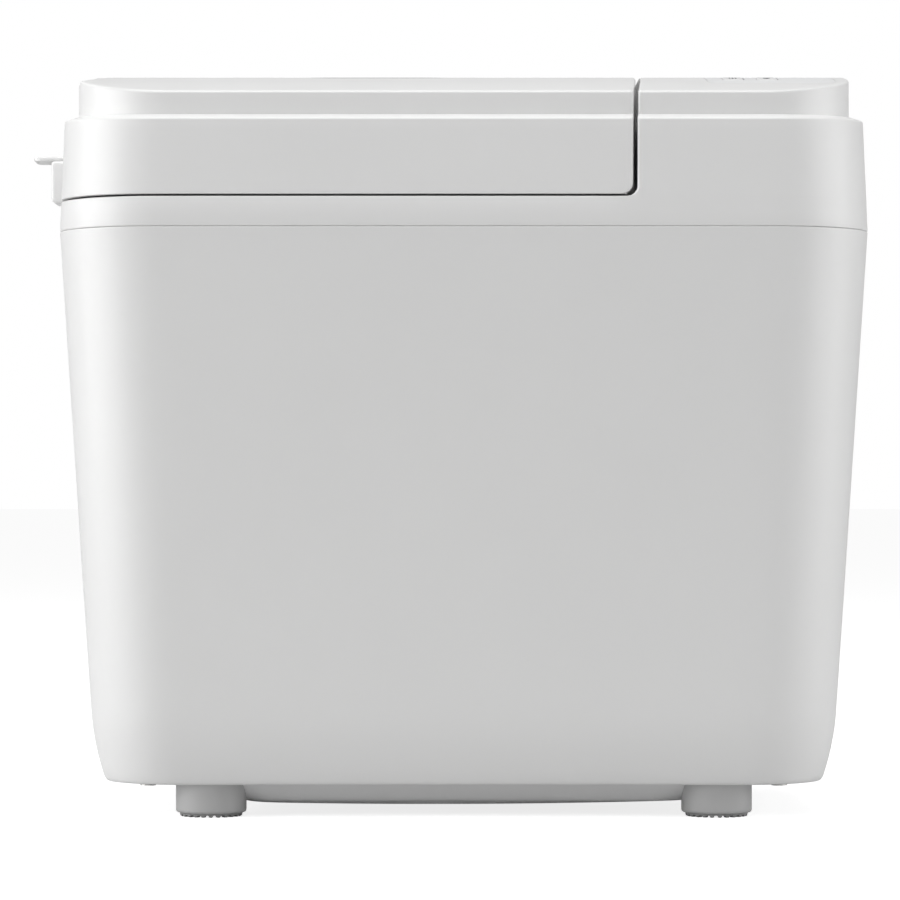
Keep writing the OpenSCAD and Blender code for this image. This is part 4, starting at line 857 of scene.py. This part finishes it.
def key_cap(name):
    """Levels of rounded rectangles from the stem's foot to the pad's eased top.

    Each level's height is lowered by the arch's fall at that x, as the housing's is."""
    (mx, my, _), (hx, hy, _) = box_middle(name)
    low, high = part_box(name)
    foot, pad = low[2], low[2] + 1.5 * MM
    turn = np.linspace(0, np.pi / 2, 6)
    draw = np.concatenate([np.zeros(2), 0.8 * MM * (1 - np.cos(turn)), [1.6 * MM, 2.8 * MM, 4.2 * MM]])
    drop = np.concatenate([[0.6 * (high[2] - pad), 2 * MM], 0.8 * MM * (1 - np.sin(turn)), [0, 0, 0]])
    dish = np.concatenate([np.zeros(len(draw) - 2), [0.12 * MM, 0.2 * MM]])
    radius = np.maximum(KEY_R - draw, 0.2 * MM)
    flat = plan(hx - draw, my - hy + draw, my + hy - draw, radius, radius, 7, 6)
    flat[..., 0] += mx
    z = key_top(flat[..., 0]) - drop[:, None] - dish[:, None]
    cap = np.concatenate([flat, z[..., None]], -1)
    half_x, half_y = np.array([STEM_R, STEM_R, hx]), np.array([STEM_R, STEM_R, hy])
    corner = [1.99 * MM, 1.99 * MM, KEY_R]
    stem = plan(half_x, my - half_y, my + half_y, corner, corner, 7, 6)
    stem[..., 0] += mx
    points = np.concatenate([raised(stem, [foot, pad, pad]), cap])
    rows, cols = points.shape[:2]
    return make_piece("keycap_" + name.replace("button_", ""), points.reshape(-1, 3),
                      grid_faces(rows, cols, False, True), name + "_key", [name], "button_plastic",
                      extra=end_loops(rows, cols))


for key in KEYS:
    key_cap(key)

# %% Printed marks
def ring_of(radius, count=28):
    """A circle as points."""
    turn = np.linspace(0, 2 * np.pi, count, endpoint=False)
    return np.stack([radius * np.cos(turn), radius * np.sin(turn)], -1)


def block(x, y0, y1):
    """A rectangle as four points."""
    return np.array([[-x, y0], [x, y0], [x, y1], [-x, y1]])


def thin_blocks(outlines, height_at, below, above):
    """Outlines made thin blocks, from a little below a surface to a little above it."""
    points, faces, start = [], [], 0
    for outline in outlines:
        count = len(outline)
        z = height_at(outline[:, 0])[:, None]
        points += [np.concatenate([outline, z - below], -1), np.concatenate([outline, z + above], -1)]
        faces += (grid_faces(2, count, False, True) + start).tolist() + end_loops(2, count, start)
        start += 2 * count
    return np.concatenate(points), faces


MARKS = {
    "button_menu": [block(2.6, y - 0.35, y + 0.35) for y in (-1.6, 0, 1.6)],
    "button_crust": [ring_of(1.9)],
    "button_timer_up": [np.array([[-2.2, -1.3], [2.2, -1.3], [0, 1.9]])],
    "button_timer_down": [np.array([[-2.2, 1.3], [0, -1.9], [2.2, 1.3]])],
    "button_stop": [block(1.7, -1.7, 1.7)],
    "button_start": [np.array([[-1.5, -2.0], [2.2, 0], [-1.5, 2.0]])],
}
MARK_SCALE = 0.85


def print_mark(name):
    """Flat outlines made thin blocks that stand two hundredths of a millimetre over the key."""
    mx, my, _ = box_middle(name)[0]
    outlines = [outline * MM * MARK_SCALE + [mx, my] for outline in MARKS[name]]
    points, faces = thin_blocks(outlines, key_top, 0.6 * MM, 0.02 * MM)
    return make_piece("mark_" + name.replace("button_", ""), points, faces, name + "_key", (),
                      "button_plastic", look="button_print")


for key in KEYS:
    print_mark(key)

# %% Figures behind the display pane
SEGMENTS = {"3": "abgcd", "4": "fgbc", "0": "abcdef"}
BARS = {
    "a": (0, 1, 0), "b": (0.5, 0.5, 1), "c": (0.5, -0.5, 1), "d": (0, -1, 0),
    "e": (-0.5, -0.5, 1), "f": (-0.5, 0.5, 1), "g": (0, 0, 0),
}


def display_figures(text="3:40", height=9 * MM):
    """Each figure is up to seven six-sided bars, set on the sides of two squares."""
    module_mid, module_half = box_middle("display_module")
    z = module_mid[2] + module_half[2]
    half = height / 2
    bar = [[-0.42, 0], [-0.34, 0.08], [0.34, 0.08], [0.42, 0], [0.34, -0.08], [-0.34, -0.08]]
    bar = np.array(bar) * half
    places = [-17 * MM, -9.5 * MM, -2 * MM, 8 * MM]
    outlines = []
    for x0, sign in zip(places, text):
        if sign == ":":
            outlines += [ring_of(0.09 * half, 10) + [x0, s * 0.35 * half + module_mid[1]] for s in (-1, 1)]
            continue
        for letter in SEGMENTS[sign]:
            bx, by, up = BARS[letter]
            shape = bar[:, ::-1] * [1, -1] if up else bar
            outlines.append(shape + [x0 + bx * half, by * half * 0.92 + module_mid[1]])
    points, faces = thin_blocks(outlines, lambda x: np.full(len(x), z), 0.05 * MM, 0.15 * MM)
    # The figures wear the lcd_digit finish, whose emission is a painted glow rather than a lamp.
    return make_piece("display_figures", points, faces, "housing", (), "lcd_glass", look="lcd_digit")


display_figures()

# %% [markdown]
# ## Feet and soles
# The housing stands on four round feet with a soft lower edge. Under each is a
# grey rubber sole whose rim is cut into short teeth, which grip the worktop. A
# foot is a profile turned about its axis. The sole is turned too, and its teeth
# come from lowering three steps in every six along the rim.

# %% Turned pieces
def turned_piece(name, profile, centre, body_name, replaced, slot_name, steps=72):
    """Radii and heights, from the bottom middle outwards and up, carried round a vertical axis."""
    turn = np.linspace(0, 2 * np.pi, steps, endpoint=False)
    r = profile[:, 0][:, None]
    flat = np.stack([centre[0] + r * np.cos(turn), centre[1] + r * np.sin(turn)], -1)
    points = raised(flat, profile[:, 1])
    rows, cols = points.shape[:2]
    return make_piece(name, points.reshape(-1, 3), grid_faces(rows, cols, False, True), body_name,
                      replaced, slot_name, extra=end_loops(rows, cols))


FEET = ["foot_front_left", "foot_front_right", "foot_rear_left", "foot_rear_right"]
for foot in FEET:
    middle, half = box_middle(foot)
    low_z, top_z, radius = middle[2] - half[2], middle[2] + half[2], half[0]
    outline = [[0.3 * radius, low_z], [radius - 3.2 * MM, low_z], [radius, low_z], [radius, top_z]]
    profile = rounded(outline, [0, 0, 3.0 * MM, 0], 9)
    profile = np.concatenate([profile, [[0.3 * radius, top_z]]])
    turned_piece("turned_" + foot, profile, middle[:2], "housing", [foot], "grey_plastic")

# %% Toothed soles
TEETH, TOOTH_STEPS = 24, 6


def toothed_soles():
    """Discs whose lowest rings are a square wave of the turn, from the sole's face down to the floor."""
    points, faces, ends, start = [], [], [], 0
    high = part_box("foot_soles")[1]
    outer_r = high[0] - box_middle("foot_rear_right")[0][0]
    steps = TEETH * TOOTH_STEPS
    turn = np.linspace(0, 2 * np.pi, steps, endpoint=False)
    tooth = (np.arange(steps) % TOOTH_STEPS < TOOTH_STEPS / 2).astype(float)
    level = 0 * turn
    face, top = 0.9 * MM, high[2] + 0.1 * MM
    wave = face * (1 - tooth)
    rings = [
        (0.2 * outer_r, face + level), (outer_r - 3.4 * MM, face + level), (outer_r - 3.2 * MM, wave),
        (outer_r - 0.5 * MM, wave), (outer_r - 0.1 * MM, wave + 0.35 * MM * tooth),
        (outer_r, face + 0.2 * MM + level), (outer_r, top + level), (0.2 * outer_r, top + level),
    ]
    rows = len(rings)
    for foot in FEET:
        x, y, _ = box_middle(foot)[0]
        grid = np.stack([np.stack([x + r * np.cos(turn), y + r * np.sin(turn), z], -1) for r, z in rings])
        faces.append(grid_faces(rows, steps, False, True) + start)
        ends += end_loops(rows, steps, start)
        points.append(grid.reshape(-1, 3))
        start += rows * steps
    return make_piece("toothed_soles", np.concatenate(points), np.concatenate(faces), "housing",
                      ["foot_soles"], "sole_rubber", 25, ends)


toothed_soles()

# %% [markdown]
# ## Tray under the housing
# A shallow dished tray closes the bottom between the feet. It hangs lowest in the
# middle and runs up into a flat flange. One stack of plans gives it, with a sine
# for the dish's section.

# %% Tray
def base_tray():
    """Flange, rounded shoulder and dish of the tray, then its inner side, as one skin."""
    low, high = (np.array(v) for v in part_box("base_pan"))
    mid_y = (low[1] + high[1]) / 2
    foot_half = box_middle("foot_rear_right")[0]
    belly_x, belly_y = foot_half[0] + 6.5 * MM, foot_half[1] - mid_y + 6.5 * MM
    plate_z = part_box("foot_rear_right")[1][2]
    t = np.linspace(0, 1, 12)
    draw = 6 * MM * t**0.8
    depth = (plate_z - low[2]) * np.sin(t * np.pi / 2) ** 0.9
    flange = (low[0] * -1, (high[1] - low[1]) / 2, 34 * MM)
    rows = [
        (*flange, plate_z + WALL), (*flange, plate_z),
        (belly_x + 1.5 * MM, belly_y + 1.5 * MM, 25 * MM, plate_z),
        (belly_x + 0.3 * MM, belly_y + 0.3 * MM, 24 * MM, plate_z - 0.3 * MM),
    ]
    for d, h in zip(draw, depth):
        rows.append((belly_x - d, belly_y - d * 3, max(24 * MM - d, 2 * MM), plate_z - 0.3 * MM - h * 0.78))
    last_x, last_y = rows[-1][0], rows[-1][1]
    rows += [(last_x * k, last_y * k, 18 * MM * k, 0) for k in (0.97, 0.9, 0.8, 0.65, 0.45, 0.2, 0.04)]
    rows = np.array(rows)
    flat = plan(rows[:, 0], mid_y - rows[:, 1], mid_y + rows[:, 1], rows[:, 2], rows[:, 2])
    reach = np.clip(np.abs(flat[..., 1] - mid_y - 14 * MM) / (last_y * 1.15), 0, 1)
    wide = np.clip(np.abs(flat[..., 0]) / last_x, 0, 1)
    bowl = low[2] + (plate_z - low[2]) * 0.22 * (reach**2 * 0.8 + wide**4 * 0.2)
    level = rows[:, 3][:, None]
    z = np.where(level == 0, bowl, np.maximum(level, bowl))
    under = np.concatenate([flat, z[..., None]], -1)
    upper = under[1:].copy()
    upper[..., 2] = np.minimum(upper[..., 2] + WALL * 0.8, plate_z + WALL * 0.8)
    points = np.concatenate([under, upper[::-1]])
    keep, ends = split_faces(*points.shape[:2], len(under) - 1)
    return make_piece("dished_tray", points.reshape(-1, 3), keep[:, ::-1], "housing", ["base_pan"],
                      "grey_plastic", extra=[e[::-1] for e in ends], look="tray_plastic")


base_tray()

# %% [markdown]
# ## Hinge cover
# Behind the lid a small box hides the hinge, and a thin lip stands out from its
# top edge to limit how far the lid falls back. The box is a rounded rectangle
# seen from the side and carried across the width, with its end faces eased.

# %% Hinge cover
LIP_T = 2.0 * MM


def hinge_box():
    """Side outline with rounded corners, carried across and drawn in at both ends."""
    low, high = (np.array(v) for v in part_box("hinge_cover"))
    top = high[2] - LIP_T
    rear = REAR_Y + 9.7 * MM
    near = low[1] - 0.5 * MM
    mid = np.array([(near + rear) / 2, (low[2] + top) / 2])
    corners = [[near, low[2]], [rear, low[2]], [rear, top], [near, top]]
    outline = rounded(corners, [0.5 * MM, 2.2 * MM, 1.8 * MM, 0.5 * MM], 7)
    turn = np.linspace(0, np.pi / 2, 6)
    ease = 1.4 * MM
    drawn_in = ease * (1 - np.cos(turn))
    x = [low[0] + drawn_in, [low[0] / 2, 0, high[0] / 2], (high[0] - drawn_in)[::-1]]
    x = np.concatenate(x)[:, None]
    draw = np.concatenate([ease * (1 - np.sin(turn)), np.zeros(3), ease * (1 - np.sin(turn))[::-1]])
    half = np.array([(rear - near) / 2, (top - low[2]) / 2])
    scale = 1 - draw[:, None] / half
    yz = mid + (outline[None] - mid) * scale[:, None, :]
    points = np.concatenate([np.broadcast_to(x[..., None], yz.shape[:2] + (1,)), yz], -1)
    rows, cols = points.shape[:2]
    return make_piece("hinge_box", points.reshape(-1, 3), grid_faces(rows, cols, False, True), "lid",
                      ["hinge_cover"], "white_plastic", extra=end_loops(rows, cols))


hinge = hinge_box()
pin_mid, pin_half = box_middle("hinge_pin")
ARM_X, ARM_SLOT = 6 * MM, 3.1 * MM
arm_top = pin_mid[2] + 4.6 * MM


def arm_slots(y0, y1, z0):
    """Two upright blocks that clear the hinge's arms."""
    y, half = (y0 + y1) / 2, (y1 - y0) / 2
    return [prism(s * ARM_X, y, ARM_SLOT, half, 0.3 * MM, z0, arm_top, 3) for s in (-1, 1)]


def pin_bore():
    """A round bar along x, a twentieth of a millimetre larger than the pin."""
    steps = 32
    turn = np.linspace(0, 2 * np.pi, steps, endpoint=False)
    r, end = pin_half[2] + 0.05 * MM, pin_half[0] + 0.2 * MM
    ring = np.stack([pin_mid[1] + r * np.cos(turn), pin_mid[2] + r * np.sin(turn)], -1)
    points = np.concatenate([np.concatenate([np.full((steps, 1), x), ring], -1) for x in (-end, end)])
    return points, grid_faces(2, steps, False, True).tolist() + end_loops(2, steps)


cut(hinge, arm_slots(pin_mid[1] - 9 * MM, pin_mid[1] + 9 * MM, 0.26))
cut(hinge, [pin_bore()])
cut(lid, arm_slots(pin_mid[1] - 17 * MM, pin_mid[1] + 9 * MM, LID_Z - 1 * MM))


def hinge_lip():
    """A plate with a rounded tip and eased edges: plans stacked in height."""
    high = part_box("hinge_cover")[1]
    rise = np.array([0, 0.0, 0.12, 0.4, 1.0]) * MM
    z = np.concatenate([high[2] - LIP_T + rise, high[2] - rise[::-1]])
    draw = np.array([1.5, 0.9, 0.35, 0.1, 0, 0, 0.1, 0.35, 0.9, 1.5]) * MM
    near, tip = REAR_Y - 0.8 * MM, high[1]
    flat = plan(11 * MM - draw, near + 0 * draw, tip - draw, np.full(10, 0.3 * MM), 4 * MM - draw, 9, 6)
    points = raised(flat, z)
    rows, cols = points.shape[:2]
    return make_piece("hinge_lip", points.reshape(-1, 3), grid_faces(rows, cols, False, True), "lid",
                      ["hinge_cover"], "white_plastic", extra=end_loops(rows, cols))


hinge_lip()

# %% [markdown]
# ## Loaf pan and paddle
# The pan is drawn from coated sheet: straight tapering walls, a rounded floor and
# a flat rolled rim. The same stack of plans serves again, with the rim rolled
# over in the profile. The paddle's blade is swept up into its hub like a fin.

# %% Loaf pan
def drawn_pan():
    """Outside going up to the rolled rim, inside going down to the floor, closed under the hub.

    The rolled rim is a half circle in the profile."""
    low, high = (np.array(v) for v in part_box("loaf_pan"))
    mid_x, mid_y = (low[0] + high[0]) / 2, (low[1] + high[1]) / 2
    rim, roll, thick, draft = 3 * MM, 1.1 * MM, 2 * MM, 3 * MM
    half_x = high[0] - rim
    half_y = (high[1] - low[1]) / 2 - rim - 2.0 * MM
    height = high[2] - low[2]
    turn = np.linspace(0, np.pi / 2, 7)
    foot = 5 * MM
    base = [[14 * MM, 0], [8 * MM, 0]]
    outer = np.array(base + [[draft + foot * (1 - np.sin(a)), foot * (1 - np.cos(a))] for a in turn])
    lift = np.linspace(0.12, 0.985, 8)
    wall_out = np.stack([draft * (1 - lift), lift * height], -1)
    arc = np.linspace(-np.pi / 2, np.pi / 2, 9)
    rolled = np.stack([-rim + roll - roll * np.cos(arc), height - roll + roll * np.sin(arc)], -1)
    wall_in = wall_out[::-1] + [thick, 0]
    up = turn[::-1]
    lower_in = [draft + thick + foot * (1 - np.sin(up)), thick + foot * (1 - np.cos(up))]
    rim_in = [[thick - 0.6 * MM, height], [thick - 0.1 * MM, height - 0.5 * MM]]
    lower_in = np.stack(lower_in, -1)
    path = np.concatenate([outer, wall_out, rolled, rim_in, wall_in, lower_in, [[14 * MM, thick]]])
    radius = np.maximum(22 * MM - path[:, 0], 2 * MM)
    inset = path[:, 0]
    flat = plan(half_x - inset, mid_y - half_y + inset, mid_y + half_y - inset, radius, radius)
    flat[..., 0] += mid_x
    hub_r, hub_z = 11.1 * MM, np.array([thick, 0.0])
    ring = np.arctan2(flat[0, :, 1] - mid_y, flat[0, :, 0] - mid_x)
    circle = np.stack([mid_x + hub_r * np.cos(ring), mid_y + hub_r * np.sin(ring)], -1)
    hub = raised(np.stack([circle, circle]), low[2] + hub_z)
    points = np.concatenate([raised(flat, path[:, 1] + low[2]), hub])
    faces = grid_faces(points.shape[0], points.shape[1], True, True)
    return make_piece("drawn_pan", points.reshape(-1, 3), faces, "pan", ["loaf_pan"], "nonstick_coat")


drawn_pan()

# %% Handle ears
EAR_R = 8 * MM


def handle_ears():
    """Two plates bent over the pan's ends, rounded at the foot."""
    low, high = (np.array(v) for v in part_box("loaf_pan"))
    pivot_z = box_middle("pan_handle")[0][2]
    points, faces, ends, start = [], [], [], 0
    turn = np.linspace(np.pi, 2 * np.pi, 15)
    outline = np.stack([EAR_R * np.cos(turn), pivot_z - 1 * MM + EAR_R * np.sin(turn)], -1)
    outline = np.concatenate([outline, [[EAR_R, high[2] - 0.2 * MM], [-EAR_R, high[2] - 0.2 * MM]]])
    count, mid = len(outline), outline.mean(0)
    for side in (-1, 1):
        y_out = high[1] if side > 0 else low[1]
        inset = np.array([0.3, 0.0, 0.0, 0.3]) * MM
        y = y_out - side * np.array([0, 0.3, 1.7, 2.0]) * MM
        rings = []
        for back, level in zip(inset, y):
            ring = mid + (outline - mid) * (1 - back / EAR_R)
            rings.append(np.stack([ring[:, 0], np.full(count, level), ring[:, 1]], -1))
        block_faces, loops = grid_faces(4, count, False, True), end_loops(4, count, start)
        if side < 0:
            block_faces, loops = block_faces[:, ::-1], [loop[::-1] for loop in loops]
        faces.append(block_faces + start)
        ends += loops
        points.append(np.stack(rings).reshape(-1, 3))
        start += 4 * count
    return make_piece("handle_ears", np.concatenate(points), np.concatenate(faces), "pan", ["loaf_pan"],
                      "nonstick_coat", extra=ends)


handle_ears()

# %% Paddle
def swept_paddle():
    """A fin: thickness falls from hub to tip and from foot to crest, crest height follows a cosine."""
    low, high = (np.array(v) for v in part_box("kneading_paddle"))
    cx, cy = low[0] + 8 * MM, (low[1] + high[1]) / 2
    hub_top, foot = high[2], low[2]
    along = np.linspace(0, 1, 26)
    x = cx + 5 * MM + (high[0] - cx - 5 * MM) * along
    floor = foot + 7.2 * MM
    crest = floor + 1 * MM + 12 * MM * (0.5 + 0.5 * np.cos(np.pi * along**0.85))
    around = np.linspace(0, 2 * np.pi, 24, endpoint=False)
    half_t = 2.2 * MM * (1 - 0.35 * along)
    tip = np.sqrt(np.clip(1 - ((along - 0.9) / 0.1).clip(0, 1) ** 2, 0.04, 1))
    z_mid, z_half = (crest + floor - 6.6 * MM) / 2, (crest - floor + 6.6 * MM) / 2
    shape_y = np.sign(np.cos(around)) * np.abs(np.cos(around)) ** 0.7
    shape_z = np.sign(np.sin(around)) * np.abs(np.sin(around)) ** 0.7
    y = cy + half_t[:, None] * shape_y * tip[:, None]
    z = z_mid[:, None] + z_half[:, None] * shape_z * (0.5 + 0.5 * tip[:, None])
    points = np.stack([np.broadcast_to(x[:, None], y.shape), y, z], -1)
    rows, cols = points.shape[:2]
    make_piece("paddle_blade", points.reshape(-1, 3), grid_faces(rows, cols, False, True), "kneader",
               ["kneading_paddle"], "nonstick_coat", 40, end_loops(rows, cols))
    hub_r, bore_r, tiny = 8 * MM, 4.1 * MM, 0.3 * MM
    outline = [
        [bore_r, foot + 7 * MM], [bore_r, foot], [hub_r, foot], [hub_r, foot + 7 * MM],
        [5.6 * MM, hub_top], [tiny, hub_top],
    ]
    profile = rounded(outline, [0, 0, 0.8 * MM, 6 * MM, 2.4 * MM, 0], 7)
    profile = np.concatenate([[[tiny, foot + 17 * MM], [bore_r, foot + 17 * MM]], profile[1:]])
    turned_piece("paddle_hub", profile, (cx, cy), "kneader", ["kneading_paddle"], "nonstick_coat")


swept_paddle()

# %% [markdown]
# ## Camera
# The machine is seen square on from its left side, from a little above the
# worktop, with a long lens that keeps the sides nearly parallel. A small upward
# shift of the lens frames it without tilting the uprights.

# %% Camera
camera_data = bpy.data.cameras.new("camera")
camera_data.lens = 160.8
camera_data.sensor_width = 36
camera_data.shift_y = 0.0556
camera_data.clip_end = 200
camera = bpy.data.objects.new("camera", camera_data)
camera.location = (-1.8426, -0.0029, 0.1386)
camera.rotation_euler = (math.pi / 2, 0, -math.pi / 2)
scene.collection.objects.link(camera)
scene.camera = camera
print("camera", tuple(round(v, 4) for v in camera.location), "lens", camera_data.lens)

# %% [markdown]
# ## Studio light
# White plastic needs soft light that falls off round its corners. A large panel
# behind the machine lights the rear corner, a weaker one in front lights the other,
# and a panel overhead brightens what faces up.

# %% Light
def soft_light(name, place, aim, size, power):
    """A square area light at a place, turned towards a point."""
    data = bpy.data.lights.new(name, "AREA")
    data.size = size
    data.energy = power
    lamp = bpy.data.objects.new(name, data)
    lamp.location = place
    way = np.array(aim) - np.array(place)
    flat = math.hypot(way[0], way[1])
    lamp.rotation_euler = (math.pi / 2 + math.atan2(way[2], flat), 0, math.atan2(-way[0], way[1]))
    scene.collection.objects.link(lamp)
    print(name, power, "watts")


soft_light("rear_panel", (-0.5, 2.0, 0.12), (0, 0.1, 0.12), 1.9, 54)
soft_light("front_panel", (-0.4, -1.9, 0.25), (0, -0.1, 0.12), 1.6, 25)
soft_light("top_panel", (-0.4, 0.1, 2.2), (0, 0, 0.25), 1.4, 32)

# %% Studio walls
world = bpy.data.worlds.new("studio")
scene.world = world
world.use_nodes = True
tree = world.node_tree
tree.nodes.clear()
fill = add_node(tree, "ShaderNodeBackground", Color=(1, 1, 1, 1), Strength=0.26)
seen = add_node(tree, "ShaderNodeBackground", Color=(1, 1, 1, 1), Strength=1.0)
ray = add_node(tree, "ShaderNodeLightPath")
either = add_node(tree, "ShaderNodeMixShader")
out = add_node(tree, "ShaderNodeOutputWorld")
link(tree, ray.outputs["Is Camera Ray"], either.inputs["Fac"])
link(tree, fill.outputs["Background"], either.inputs[1])
link(tree, seen.outputs["Background"], either.inputs[2])
link(tree, either.outputs["Shader"], out.inputs["Surface"])
scene.view_settings.view_transform = "Standard"
print("walls light the scene at", fill.inputs["Strength"].default_value)

# %% Floor
EDGE = 60
floor_mesh = bpy.data.meshes.new("floor")
corners = [(-EDGE, -EDGE, 0), (EDGE, -EDGE, 0), (EDGE, EDGE, 0), (-EDGE, EDGE, 0)]
floor_mesh.from_pydata(corners, [], [(0, 1, 2, 3)])
floor = bpy.data.objects.new("floor", floor_mesh)
scene.collection.objects.link(floor)
pale = bpy.data.materials.new("pale_floor")
pale.use_nodes = True
shader = pale.node_tree.nodes["Principled BSDF"]
shader.inputs["Base Color"].default_value = (0.62, 0.62, 0.62, 1)
shader.inputs["Roughness"].default_value = 0.95
shader.inputs["Specular IOR Level"].default_value = 0.0
shader.inputs["Emission Color"].default_value = (1, 1, 1, 1)
ray = add_node(pale.node_tree, "ShaderNodeLightPath")
lift = add_node(pale.node_tree, "ShaderNodeMath", operation="MULTIPLY")
lift.inputs[1].default_value = 0.8
link(pale.node_tree, ray.outputs["Is Camera Ray"], lift.inputs[0])
link(pale.node_tree, lift.outputs[0], shader.inputs["Emission Strength"])
floor_mesh.materials.append(pale)
print("floor is", 2 * EDGE, "metres across")
